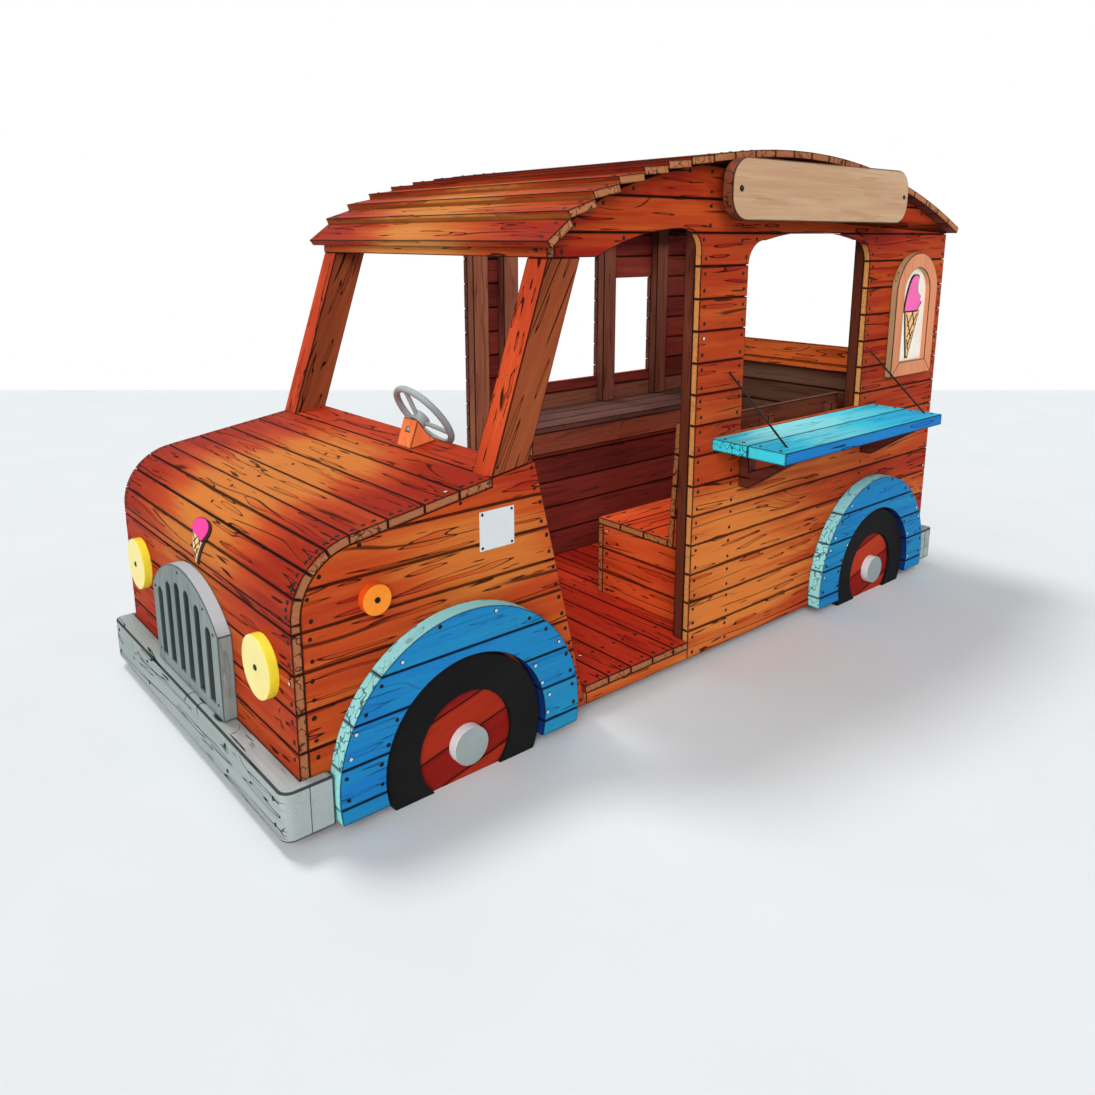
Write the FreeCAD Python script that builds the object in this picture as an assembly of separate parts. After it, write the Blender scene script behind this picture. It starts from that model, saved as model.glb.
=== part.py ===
"""Timber play truck with a serving hatch: every board, post and fitting as its own solid.

Millimetres. +Z is up, the truck faces -Y and its left side is +X. The origin is on the ground,
on the centre line, midway between the front and rear wheels.
"""
import FreeCAD
import Part
import math
import os

V = FreeCAD.Vector
UP = V(0, 0, 1)

# ---------------------------------------------------------------- driving dimensions
BODY_LENGTH = 3360.0
BODY_WIDTH = 1440.0
BODY_BOTTOM = 40.0
FLOOR_TOP = 110.0

BOARD = 28.0            # thickness of every cladding board
PITCH = 115.0           # one board and the gap beside it
GAP = 3.0               # drying gap between boards
POST_W = 90.0           # posts, measured along the wall
POST_D = 48.0           # posts, measured across the wall
FIT = 0.3               # clearance where round or slanting faces lie close

HOOD_RADIUS = 215.0     # bend from the upright front to the hood
HOOD_SPRING_Z = 640.0   # where that bend starts
HOOD_SLOPE = 0.155      # rise of the hood towards the windscreen
HOOD_LENGTH = 662.0     # front face to the windscreen
HOOD_BENDS = 4          # boards round the bend
COWL_LENGTH = 130.0     # windscreen sill, front to back
DASH_DROP = 161.0       # dash board below the sill

PILLAR_LEAN = 0.343     # windscreen pillars, back per unit of height
PILLAR_DEPTH = 132.0
PILLAR_WIDTH = 100.0
PILLAR_TAIL = 230.0     # how far a pillar runs down inside the cowl
HEADER_DROP = 374.0     # underside of the windscreen header, below the roof's crest

ROOF_FRONT_RADIUS = 1156.0
ROOF_MIDDLE_RADIUS = 3226.0           # from the front bend to the crest
ROOF_CREST = 1248.0     # the highest point, from the roof's front edge
ROOF_CREST_Z = 1946.0
ROOF_FALL = 270.0       # from the crest down to the rear edge
ROOF_BLEND = 808.0      # from the crest forward to where the front bend starts
ROOF_STEP = 26.0        # front edge of each board, standing over the board in front
ROOF_STEP_START = 458.0               # steps begin this far in front of the crest
ROOF_STEP_FULL = 988.0                # and have their whole height from here forward
ROOF_OVERHANG = 48.0
ROOF_LIP_FRONT = 40.0
ROOF_LIP_REAR = 20.0
RIB_DEPTH = 60.0
RIB_WIDTH = 48.0

DOOR_FRONT = 830.0      # doorway's front edge at the hood line, from the front face
DOOR_FRONT_SLOPE = 0.248
DOOR_REAR = 1590.0      # doorway's rear edge, from the front face
DOOR_ARCH_RISE = 90.0   # head of the doorway, above the windscreen header
DOOR_CORNER = 75.0

HATCH_FRONT = 1860.0    # from the front face
HATCH_REAR = 660.0      # from the rear face
HATCH_SILL_Z = 900.0
HATCH_CREST_DROP = 291.0              # head of the hatch, below the roof's crest
HATCH_ARCH = 120.0      # from the spring of its arch to the head
HATCH_SHOULDER = 33.0   # shoulders of the arch, below the head
HATCH_CORNER = 100.0

SLIT_WIDTH = 318.0      # right side: narrow window behind the arched one
SLIT_LAG = 145.0        # its rear edge, behind the arched window's
SLIT_HEAD_ROWS = 12     # rows of boards below its head

REAR_WALL_ROWS = 9      # rows of boards below the rear opening
REAR_JAMB = 160.0       # boarding beside the rear opening
RAIL_DEPTH = 96.0       # inner rail under the rear opening
LEDGE_HEIGHT = 30.0
LEDGE_DEPTH = 45.0

AXLE_INSET = 525.0      # from each end of the body
AXLE_Z = 118.0
TYRE_RADIUS = 285.0
TYRE_INNER_RADIUS = 170.0
TYRE_THICK = 42.0
DISC_THICK = 30.0
HUB_RADIUS = 62.0
HUB_PROUD = 34.0
FENDER_CLEAR = 10.0     # between the tyre and its arch
FENDER_WIDE = 147.0
FENDER_THICK = 60.0
FENDER_PITCH = 118.0

BUMPER_Z = (43.0, 193.0)
BUMPER_OUT = 70.0
BUMPER_SIDE = 38.0
BUMPER_RADIUS = 34.0

LAMP_INSET = 185.0      # centre of a lamp, from the body's side
LAMP_Z = 465.0
LAMP_RADIUS = 94.0
LAMP_THICK = 30.0
INDICATOR_BACK = 242.0  # centre, from the front face
INDICATOR_Z = 659.0
INDICATOR_RADIUS = 45.0
GRILLE_HALF = 295.0
GRILLE_Z = (196.0, 470.0, 606.0)      # foot, spring of the arch, crown
GRILLE_THICK = 45.0
GRILLE_RIM = 62.0
SLOT_COUNT = 6
SLOT_PITCH = 87.0
SLOT_WIDTH = 42.0
SLOT_FOOT_Z = 236.0

COUNTER_THICK = 45.0
COUNTER_DEPTH = 325.0
COUNTER_PAST = (170.0, 110.0)         # past the hatch, at the front and at the rear
BRACKET_PAST = (1.0, 85.0)
BRACKET_DROP = 170.0
BRACKET_BAR = 45.0
BRACKET_ARM = 227.0
STAY_PAST = (85.0, 65.0)
STAY_WALL_Z = 1140.0
STAY_OUT = 270.0
STAY_RADIUS = 4.0

SIGN_PAST = (232.0, 98.0)             # past the hatch, at the front and at the rear
SIGN_DROP = 43.0        # top of the sign, below the roof's crest
SIGN_HEIGHT = 213.0
SIGN_CORNER = 84.0
SIGN_THICK = 46.0
SIGN_CLEAR = 2.0        # sign, outside the roof's edge
SPACER_INSET = 95.0
SPACER_RADIUS = 25.0

FRAME_WIDTH = 360.0
FRAME_INSET = 105.0     # from the rear face
FRAME_FOOT_Z = 1010.0
FRAME_SPRING_Z = 1385.0
FRAME_BORDER = 66.0
FRAME_THICK = 32.0
PANEL_THICK = 10.0

WHEEL_X = 200.0
WHEEL_LEAD = 32.0       # rim centre, in front of the dash's face
WHEEL_RISE = 80.0       # rim centre, above the windscreen sill
WHEEL_TILT = 36.0       # rim plane, leaning forward from upright
RIM_RADIUS = 125.0
RIM_TUBE = 12.0
WHEEL_DISH = 20.0       # hub, in front of the rim
WHEEL_HUB_RADIUS = 30.0
WHEEL_HUB_DEPTH = 34.0
SPOKE_RADIUS = 8.0
SPOKE_ANGLES = (90.0, 210.0, 330.0)
SHAFT_RADIUS = 12.0
SHAFT_LENGTH = 60.0
SHAFT_CLEARANCE = 0.05
BLOCK_WIDTH = 90.0
BLOCK_LENGTH = 110.0
BLOCK_INSET = 10.0      # block's foot, in front of the dash's face
BLOCK_CLEAR = 7.0       # block's face, behind the wheel's hub

BENCH_FRONT_CLEAR = 8.0
BENCH_DEPTH = 400.0
BENCH_BACK_CLEAR = 127.0              # foot of the back, from the posts
BENCH_TOP_Z = 450.0
BENCH_BACK_Z = 935.0
BENCH_BACK_LEAN = 0.05
BATTEN = 45.0

WORKTOP_Z = 766.0
WORKTOP_DEPTH = 370.0
APRON_HEIGHT = 98.0

BEARER_INSET = 180.0    # centre of an outer bearer, from the body's side
BEARER_WIDTH = 100.0
TIE_COUNT = 5
ANCHOR_INSET = 350.0    # from each end of the body
ANCHOR_RADIUS = 7.0

# ---------------------------------------------------------------- places worked out from them
FRONT = -BODY_LENGTH / 2
REAR = BODY_LENGTH / 2
OUT = BODY_WIDTH / 2                  # outer face of the side boards
IN = OUT - BOARD                      # inner face of the side boards
POST_IN = IN - POST_D                 # inner face of the posts
FLOOR_UNDER = FLOOR_TOP - BOARD
BOARD_WIDE = PITCH - GAP
HEADER_Z = ROOF_CREST_Z - HEADER_DROP
HOOD_END_Y = FRONT + HOOD_LENGTH
COWL_END_Y = HOOD_END_Y + COWL_LENGTH
HEADER_BACK_Y = HOOD_END_Y + PILLAR_LEAN * (HEADER_Z - (HOOD_SPRING_Z + HOOD_RADIUS))
ROOF_FRONT_Y = HEADER_BACK_Y - BOARD - ROOF_LIP_FRONT
ROOF_REAR_Y = REAR + ROOF_LIP_REAR
ROOF_CREST_Y = ROOF_FRONT_Y + ROOF_CREST
ROOF_BLEND_Y = ROOF_CREST_Y - ROOF_BLEND
ROOF_REAR_RADIUS = ((ROOF_REAR_Y - ROOF_CREST_Y) ** 2 + ROOF_FALL ** 2) / (2 * ROOF_FALL)
DOOR_FRONT_TOP_Y = FRONT + DOOR_FRONT
DOOR_REAR_Y = FRONT + DOOR_REAR
DOOR_ARCH_Z = HEADER_Z + DOOR_ARCH_RISE
HATCH_FRONT_Y = FRONT + HATCH_FRONT
HATCH_REAR_Y = REAR - HATCH_REAR
HATCH_CREST_Z = ROOF_CREST_Z - HATCH_CREST_DROP
HATCH_SPRING_Z = HATCH_CREST_Z - HATCH_ARCH
HATCH_SHOULDER_Z = HATCH_CREST_Z - HATCH_SHOULDER
SLIT_REAR_Y = HATCH_REAR_Y + SLIT_LAG
MULLION_Y = SLIT_REAR_Y - SLIT_WIDTH - POST_W
SLIT_HEAD_Z = BODY_BOTTOM + SLIT_HEAD_ROWS * PITCH
REAR_SILL_Z = BODY_BOTTOM + REAR_WALL_ROWS * PITCH
AXLE_Y = BODY_LENGTH / 2 - AXLE_INSET
FENDER_INNER = TYRE_RADIUS + FENDER_CLEAR
FENDER_OUTER = FENDER_INNER + FENDER_WIDE
COUNTER_UNDER = HATCH_SILL_Z - COUNTER_THICK
SIGN_TOP_Z = ROOF_CREST_Z - SIGN_DROP
SIGN_STAND_OFF = ROOF_OVERHANG + SIGN_CLEAR
FRAME_Y = (REAR - FRAME_INSET - FRAME_WIDTH, REAR - FRAME_INSET)
BENCH_Y = (DOOR_REAR_Y + POST_W + BENCH_FRONT_CLEAR, HATCH_REAR_Y + POST_W)
BENCH_X = POST_IN - BENCH_BACK_CLEAR - BENCH_DEPTH
WORKTOP_EDGE_X = WORKTOP_DEPTH - IN
BEARER_X = (BEARER_INSET - OUT, 0.0, OUT - BEARER_INSET)
ANCHOR_Y = BODY_LENGTH / 2 - ANCHOR_INSET


def past_hatch(past):
    """Limits along the wall that reach past the hatch by two amounts."""
    return (HATCH_FRONT_Y - past[0], HATCH_REAR_Y + past[1])


# ---------------------------------------------------------------- plain helpers
def box(x, y, z):
    """A block between pairs of limits."""
    shape = Part.makeBox(x[1] - x[0], y[1] - y[0], z[1] - z[0])
    shape.translate(V(x[0], y[0], z[0]))
    return shape


def cylinder(radius, length, base, axis):
    return Part.makeCylinder(radius, length, base, axis)


def wire_yz(steps):
    """Closed wire in the YZ plane: a step is (y, z), or (y, z, via y, via z) for an arc."""
    edges = []
    for here, there in zip(steps, steps[1:] + steps[:1]):
        a = V(0, here[0], here[1])
        b = V(0, there[0], there[1])
        if (b - a).Length < 1e-6:
            continue
        if len(there) == 4:
            edges.append(Part.Arc(a, V(0, there[2], there[3]), b).toShape())
        else:
            edges.append(Part.makeLine(a, b))
    return Part.Wire(edges)


def slab(steps, x):
    """Extrude a YZ outline between two x limits."""
    face = Part.Face(wire_yz(steps))
    shape = face.extrude(V(x[1] - x[0], 0, 0))
    shape.translate(V(x[0], 0, 0))
    return shape


def across(corners, y):
    """Piece from a straight-sided outline across the truck, between two places along it."""
    points = [V(x, y[0], z) for x, z in corners]
    return Part.Face(Part.makePolygon(points + points[:1])).extrude(V(0, y[1] - y[0], 0))


def mirrored(shape):
    return shape.mirror(V(0, 0, 0), V(1, 0, 0))


def solids(shapes):
    """All solids of several shapes, slivers left out."""
    found = []
    for shape in shapes:
        found += [s for s in shape.Solids if s.Volume > 2000.0]
    return found


def clipped(boards, outline, holes=()):
    """Boards kept inside an outline and opened by the holes."""
    kept = []
    for board in boards:
        piece = board.common(outline)
        for hole in holes:
            piece = piece.cut(hole)
        kept.append(piece)
    return solids(kept)


def rows(low, high):
    """Limits of the board rows that lie between two heights, counted from the body's bottom."""
    first = int(math.floor((low - BODY_BOTTOM) / PITCH + 1e-6))
    last = int(math.ceil((high - BODY_BOTTOM) / PITCH - 1e-6))
    return [(max(low, BODY_BOTTOM + i * PITCH), min(high, BODY_BOTTOM + i * PITCH + BOARD_WIDE))
            for i in range(first, last)]


def strips(low, high, wide):
    """Equal boards across a width, as near as can be to the wanted board."""
    count = max(1, int(round((high - low + GAP) / (wide + GAP))))
    step = (high - low + GAP) / count
    return [(low + i * step, low + i * step + step - GAP) for i in range(count)]


# ---------------------------------------------------------------- the hood and roof curves
def hood_z(y, inset=0.0):
    """Height of the hood line, or of a line inset below it."""
    bend_y = FRONT + HOOD_RADIUS
    turn = math.atan(HOOD_SLOPE)
    touch_y = bend_y - HOOD_RADIUS * math.sin(turn)
    touch_z = HOOD_SPRING_Z + HOOD_RADIUS * math.cos(turn)
    return touch_z + (y - touch_y) * HOOD_SLOPE - inset / math.cos(turn)


def hood_bend(angle, inset=0.0):
    """Point on the bend at an angle from the upright front, in degrees."""
    a = math.radians(angle)
    radius = HOOD_RADIUS - inset
    return (FRONT + HOOD_RADIUS - radius * math.cos(a), HOOD_SPRING_Z + radius * math.sin(a))


def roof_arc(y):
    """Centre and radius of the roof curve over a place: the front bend, the middle or the rear."""
    if y < ROOF_BLEND_Y:
        ratio = ROOF_BLEND / ROOF_MIDDLE_RADIUS
        reach = ROOF_MIDDLE_RADIUS - ROOF_FRONT_RADIUS
        drop = ROOF_MIDDLE_RADIUS - reach * math.sqrt(1 - ratio * ratio)
        return ROOF_CREST_Y - reach * ratio, ROOF_CREST_Z - drop, ROOF_FRONT_RADIUS
    radius = ROOF_MIDDLE_RADIUS if y < ROOF_CREST_Y else ROOF_REAR_RADIUS
    return ROOF_CREST_Y, ROOF_CREST_Z - radius, radius


def roof_z(y, inset=0.0):
    """Height of the roof's outer face, or of a curve inset below it."""
    centre_y, centre_z, radius = roof_arc(y)
    return centre_z + math.sqrt((radius - inset) ** 2 - (y - centre_y) ** 2)


def roof_steps(front, rear, inset):
    """Outline steps along the roof curve from front to rear, one arc for each bend."""
    stops = [front] + [y for y in (ROOF_BLEND_Y, ROOF_CREST_Y) if front < y < rear] + [rear]
    steps = [(front, roof_z(front, inset))]
    for start, end in zip(stops, stops[1:]):
        middle = (start + end) / 2
        steps.append((end, roof_z(end, inset), middle, roof_z(middle, inset)))
    return steps


def backwards(steps):
    """The same outline steps, run from the end to the start."""
    back = [steps[-1][:2]]
    for here, before in zip(steps[:0:-1], steps[-2::-1]):
        back.append(before[:2] + here[2:])
    return back


def door_front_y(z):
    """Front edge of the doorway, which slants forward as it rises."""
    return DOOR_FRONT_TOP_Y + (hood_z(DOOR_FRONT_TOP_Y) - z) * DOOR_FRONT_SLOPE


def pillar_front_y(z):
    return HOOD_END_Y + (z - hood_z(HOOD_END_Y)) * PILLAR_LEAN


# ---------------------------------------------------------------- base and floor
def long_bearers():
    bearers = []
    for x in BEARER_X:
        bearers.append(box((x - BEARER_WIDTH / 2, x + BEARER_WIDTH / 2),
                           (FRONT + BOARD, REAR - BOARD), (0, FLOOR_UNDER)))
    for x in (BEARER_X[0], BEARER_X[-1]):
        for y in (-ANCHOR_Y, ANCHOR_Y):
            hole = cylinder(ANCHOR_RADIUS, FLOOR_UNDER + 2, V(x, y, -1), UP)
            bearers = [b.cut(hole) for b in bearers]
    return solids(bearers)


def cross_bearers():
    """Short noggings between the long bearers."""
    ties = []
    spans = list(zip(BEARER_X[:-1], BEARER_X[1:]))
    start = FRONT + BOARD + BEARER_WIDTH
    step = (BODY_LENGTH - 2 * BOARD - 3 * BEARER_WIDTH) / (TIE_COUNT - 1)
    for i in range(TIE_COUNT):
        y = start + i * step
        for left, right in spans:
            ties.append(box((left + BEARER_WIDTH / 2, right - BEARER_WIDTH / 2),
                            (y, y + BEARER_WIDTH), (BODY_BOTTOM, FLOOR_UNDER)))
    return ties


def floor_boards():
    """Boards across the floor; in the doorways they run out over the sills."""
    boards = []
    door_start = door_front_y(FLOOR_TOP)
    for y0, y1 in strips(FRONT + BOARD, REAR - BOARD, BOARD_WIDE):
        boards.append(box((-IN, IN), (y0, y1), (FLOOR_UNDER, FLOOR_TOP)))
    for side in (-1, 1):
        tabs = []
        for y0, y1 in strips(FRONT + BOARD, REAR - BOARD, BOARD_WIDE):
            y0, y1 = max(y0, door_start + GAP), min(y1, DOOR_REAR_Y)
            if y1 - y0 > 10:
                tabs.append(box(sorted((side * IN, side * OUT)), (y0, y1), (FLOOR_UNDER, FLOOR_TOP)))
        boards = [joined(b, tabs) for b in boards]
    return solids(boards)


def joined(board, tabs):
    """The board with those tabs that touch it."""
    for tab in tabs:
        apart = abs(board.BoundBox.Center.y - tab.BoundBox.Center.y)
        if apart < PITCH / 2 and board.distToShape(tab)[0] < 0.01:
            board = board.fuse(tab).removeSplitter()
    return board


def door_sills():
    sill = box((IN, OUT), (door_front_y(BODY_BOTTOM) + GAP, DOOR_REAR_Y), (BODY_BOTTOM, FLOOR_UNDER))
    return solids([sill, mirrored(sill)])


# ---------------------------------------------------------------- front, hood and cowl
def front_boards():
    boards = [box((-OUT, OUT), (FRONT, FRONT + BOARD), row) for row in rows(BODY_BOTTOM, HOOD_SPRING_Z)]
    return solids(boards)


def hood_boards():
    """Boards laid across the bend and then up the hood, each as thick as a board."""
    turn = 90.0 - math.degrees(math.atan(HOOD_SLOPE))
    gap_angle = math.degrees(GAP / HOOD_RADIUS)
    boards = []
    for i in range(HOOD_BENDS):
        a0 = i * turn / HOOD_BENDS
        a1 = (i + 1) * turn / HOOD_BENDS - gap_angle
        am = (a0 + a1) / 2
        boards.append(slab([hood_bend(a0), hood_bend(a1) + hood_bend(am),
                            hood_bend(a1, BOARD), hood_bend(a0, BOARD) + hood_bend(am, BOARD)],
                           (-OUT, OUT)))
    touch_y = hood_bend(turn)[0]
    for y0, y1 in strips(touch_y, HOOD_END_Y, BOARD_WIDE):
        boards.append(slab([(y0, hood_z(y0)), (y1, hood_z(y1)),
                            (y1, hood_z(y1, BOARD)), (y0, hood_z(y0, BOARD))], (-OUT, OUT)))
    return solids(boards)


def side_front():
    """Left cowl side: boards under the hood line, ending at the slanting doorway."""
    turn = 90.0 - math.degrees(math.atan(HOOD_SLOPE))
    start = FRONT + BOARD
    outline = slab([(start, BODY_BOTTOM), (start, HOOD_SPRING_Z),
                    hood_bend(turn, BOARD) + hood_bend(turn / 2, BOARD),
                    (HOOD_END_Y, hood_z(HOOD_END_Y, BOARD)), (HOOD_END_Y, hood_z(HOOD_END_Y)),
                    (DOOR_FRONT_TOP_Y, hood_z(DOOR_FRONT_TOP_Y)),
                    (door_front_y(BODY_BOTTOM), BODY_BOTTOM)], (IN, OUT))
    boards = [box((IN, OUT), (start, DOOR_REAR_Y), row)
              for row in rows(BODY_BOTTOM, hood_z(DOOR_FRONT_TOP_Y))]
    return clipped(boards, outline)


def dash_boards():
    """Windscreen sill between the pillars, and the dash board that hangs from it."""
    half = OUT - PILLAR_WIDTH
    start = HOOD_END_Y + GAP
    top = slab([(start, hood_z(start)), (COWL_END_Y, hood_z(COWL_END_Y)),
                (COWL_END_Y, hood_z(COWL_END_Y, BOARD)), (start, hood_z(start, BOARD))], (-half, half))
    under = hood_z(COWL_END_Y - BOARD, BOARD)
    face = slab([(COWL_END_Y - BOARD, under), (COWL_END_Y, hood_z(COWL_END_Y, BOARD)),
                 (COWL_END_Y, under - DASH_DROP), (COWL_END_Y - BOARD, under - DASH_DROP)],
                (-IN, IN))
    return solids([top, face])


def windscreen_pillar():
    """Left pillar: full section above the cowl, its tail inside the side boards."""
    foot_z = hood_z(HOOD_END_Y) - PILLAR_TAIL
    y0 = pillar_front_y(foot_z)
    y1 = pillar_front_y(HEADER_Z)
    side = [(y0, foot_z), (y1, HEADER_Z), (y1 + PILLAR_DEPTH, HEADER_Z), (y0 + PILLAR_DEPTH, foot_z)]
    above = slab([(FRONT, hood_z(FRONT)), (REAR, hood_z(REAR)), (REAR, ROOF_CREST_Z),
                  (FRONT, ROOF_CREST_Z)], (0, OUT))
    outer = slab(side, (IN, OUT)).common(above)
    pillar = slab(side, (OUT - PILLAR_WIDTH, IN)).fuse(outer).removeSplitter()
    hood_cover = slab([(FRONT, hood_z(FRONT) - BOARD), (FRONT, hood_z(FRONT)),
                       (HOOD_END_Y, hood_z(HOOD_END_Y)), (HOOD_END_Y, hood_z(HOOD_END_Y, BOARD + GAP))],
                      (0, OUT))
    dash_clear = box((-OUT, OUT), (COWL_END_Y - BOARD, COWL_END_Y),
                     (0, hood_z(COWL_END_Y, BOARD)))
    return solids([pillar.cut(hood_cover).cut(dash_clear)])


# ---------------------------------------------------------------- side and rear walls
def door_hole():
    """The doorway under its arched head, open towards the windscreen pillar."""
    head_front = HEADER_BACK_Y + PILLAR_DEPTH + POST_D
    top_z = hood_z(DOOR_FRONT_TOP_Y) + 1
    corner_y = DOOR_REAR_Y - DOOR_CORNER
    middle_z = HEADER_Z + 0.78 * (DOOR_ARCH_Z - HEADER_Z)
    corner = DOOR_CORNER * (1 - math.sqrt(0.5))
    return slab([(door_front_y(BODY_BOTTOM - 1), BODY_BOTTOM - 1),
                 (door_front_y(top_z), top_z), (FRONT, top_z), (FRONT, HEADER_Z), (head_front, HEADER_Z),
                 (corner_y, DOOR_ARCH_Z, (head_front + corner_y) / 2, middle_z),
                 (DOOR_REAR_Y, DOOR_ARCH_Z - DOOR_CORNER, DOOR_REAR_Y - corner, DOOR_ARCH_Z - corner),
                 (DOOR_REAR_Y, BODY_BOTTOM - 1)], (POST_IN, OUT + 1))


def hatch_hole():
    middle = (HATCH_FRONT_Y + HATCH_REAR_Y) / 2
    reach = HATCH_CORNER * (1 - math.sqrt(0.5))
    return slab([(HATCH_FRONT_Y, HATCH_SILL_Z), (HATCH_FRONT_Y, HATCH_SPRING_Z),
                 (HATCH_FRONT_Y + HATCH_CORNER, HATCH_SHOULDER_Z,
                  HATCH_FRONT_Y + reach, HATCH_SPRING_Z + 0.72 * (HATCH_SHOULDER_Z - HATCH_SPRING_Z)),
                 (HATCH_REAR_Y - HATCH_CORNER, HATCH_SHOULDER_Z, middle, HATCH_CREST_Z),
                 (HATCH_REAR_Y, HATCH_SPRING_Z,
                  HATCH_REAR_Y - reach, HATCH_SPRING_Z + 0.72 * (HATCH_SHOULDER_Z - HATCH_SPRING_Z)),
                 (HATCH_REAR_Y, HATCH_SILL_Z)], (POST_IN - 1, OUT + 1))


def wall_outline():
    """Side wall from the doorway's head to the rear, up to the underside of the roof."""
    return slab([(DOOR_REAR_Y, BODY_BOTTOM), (DOOR_REAR_Y, HEADER_Z), (HEADER_BACK_Y, HEADER_Z)]
                + roof_steps(HEADER_BACK_Y, REAR, BOARD + FIT) + [(REAR, BODY_BOTTOM)], (IN, OUT))


def wall_boards():
    return [box((IN, OUT), (HEADER_BACK_Y, REAR), row) for row in rows(BODY_BOTTOM, ROOF_CREST_Z)]


def side_rear_left():
    return clipped(wall_boards(), wall_outline(), (door_hole(), hatch_hole()))


def side_rear_right():
    """Right wall: an arched window, an upright, a slit window and boarding over it."""
    window = hatch_hole().common(box((0, BODY_WIDTH), (HATCH_FRONT_Y - 1, MULLION_Y), (0, ROOF_CREST_Z)))
    slit = box((IN - 1, OUT + 1), (MULLION_Y + POST_W, SLIT_REAR_Y), (HATCH_SILL_Z, SLIT_HEAD_Z))
    boards = clipped(wall_boards(), wall_outline(), (door_hole(), window, slit))
    return [mirrored(b) for b in boards]


def rear_boards():
    """Rear wall between the sides: a low wall, and a jamb each side of an opening up to the roof."""
    outline = box((-IN, IN), (REAR - BOARD, REAR), (BODY_BOTTOM, roof_z(REAR, BOARD + FIT)))
    opening = box((REAR_JAMB - OUT, OUT - REAR_JAMB), (REAR - BOARD - 1, REAR + 1),
                  (REAR_SILL_Z, ROOF_CREST_Z))
    boards = [box((-IN, IN), (REAR - BOARD, REAR), row) for row in rows(BODY_BOTTOM, ROOF_CREST_Z)]
    return clipped(boards, outline, (opening,))


def rear_rail():
    """Inner rail under the rear opening, with a narrow ledge below it."""
    inner = REAR - BOARD
    rail = box((-POST_IN, POST_IN), (inner - BOARD, inner), (REAR_SILL_Z - RAIL_DEPTH, REAR_SILL_Z))
    ledge_top = REAR_SILL_Z - RAIL_DEPTH - GAP
    ledge = box((-POST_IN, POST_IN), (inner - LEDGE_DEPTH, inner), (ledge_top - LEDGE_HEIGHT, ledge_top))
    return [rail, ledge]


def rib_under(y):
    """Underside of the roof ribs."""
    return roof_z(y, BOARD + RIB_DEPTH + 2 * FIT)


def post(y, foot, head=None):
    """Left wall post from a height up to the ribs, or to a head height."""
    if head is not None:
        return box((POST_IN, IN), (y, y + POST_W), (foot, head))
    return slab([(y, foot), (y, rib_under(y)), (y + POST_W, rib_under(y + POST_W)), (y + POST_W, foot)],
                (POST_IN, IN))


def shared_posts():
    """Posts that both side walls have: front corner, door front, door rear, rear corner."""
    low_y = door_front_y(FLOOR_TOP)
    head_z = hood_z(HOOD_END_Y) - PILLAR_TAIL - GAP
    head_y = door_front_y(head_z)
    slant = slab([(low_y - POST_W, FLOOR_TOP), (low_y, FLOOR_TOP), (head_y, head_z),
                  (head_y - POST_W, head_z)], (POST_IN, IN))
    return [post(FRONT + BOARD, FLOOR_TOP, HOOD_SPRING_Z), slant,
            post(DOOR_REAR_Y, FLOOR_TOP), post(REAR - BOARD - POST_W, FLOOR_TOP)]


def wall_posts_left():
    return solids(shared_posts() + [post(HATCH_FRONT_Y - POST_W, FLOOR_TOP), post(HATCH_REAR_Y, FLOOR_TOP)])


def wall_posts_right():
    uprights = [post(HATCH_FRONT_Y - POST_W, WORKTOP_Z), post(MULLION_Y, WORKTOP_Z),
                post(SLIT_REAR_Y, WORKTOP_Z)]
    return [mirrored(p) for p in solids(shared_posts() + uprights)]


# ---------------------------------------------------------------- roof
def header_front():
    """Board across the front under the roof, and the beam behind it on the pillars."""
    face = slab([(HEADER_BACK_Y - BOARD, HEADER_Z), (HEADER_BACK_Y, HEADER_Z),
                 (HEADER_BACK_Y, roof_z(HEADER_BACK_Y, BOARD + FIT)),
                 (HEADER_BACK_Y - BOARD, roof_z(HEADER_BACK_Y - BOARD, BOARD + FIT))], (-OUT, OUT))
    y1 = HEADER_BACK_Y + POST_W
    beam = slab([(HEADER_BACK_Y, HEADER_Z), (y1, HEADER_Z), (y1, roof_z(y1, BOARD + 6 * FIT)),
                 (HEADER_BACK_Y, roof_z(HEADER_BACK_Y, BOARD + FIT))], (-IN, IN))
    return solids([face, beam])


def roof_ribs():
    """A curved rib inside each wall."""
    y0 = HEADER_BACK_Y + POST_W
    y1 = REAR - BOARD
    outline = roof_steps(y0, y1, BOARD + FIT) + backwards(roof_steps(y0, y1, BOARD + RIB_DEPTH))
    return solids([slab(outline, (x, x + RIB_WIDTH)) for x in (POST_IN, -IN)])


def roof_bends():
    """Each bend of the roof's face: centre, radius, and the angles where it starts and ends."""
    stops = (ROOF_FRONT_Y, ROOF_BLEND_Y, ROOF_CREST_Y, ROOF_REAR_Y)
    bends = []
    for start, end in zip(stops, stops[1:]):
        y, z, radius = roof_arc(start)
        bends.append((y, z, radius, math.asin((start - y) / radius), math.asin((end - y) / radius)))
    return bends


def roof_place(run, inset):
    """Point on a curve inset below the roof's face, and the outward normal there.

    The run is measured along the face from the front edge.
    """
    for y, z, radius, start, end in roof_bends():
        angle = start + run / radius
        if angle <= end:
            break
        run -= (end - start) * radius
    normal = V(0, math.sin(angle), math.cos(angle))
    return V(0, y, z) + normal * (radius - inset), normal


def roof_run():
    """Length of the roof's face from front to rear."""
    return sum((end - start) * radius for _, _, radius, start, end in roof_bends())


def roof_lift(y):
    """How far a board's front edge stands over the board in front of it."""
    share = (ROOF_CREST_Y - ROOF_STEP_START - y) / (ROOF_STEP_FULL - ROOF_STEP_START)
    return ROOF_STEP * min(1.0, max(0.0, share))


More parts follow.
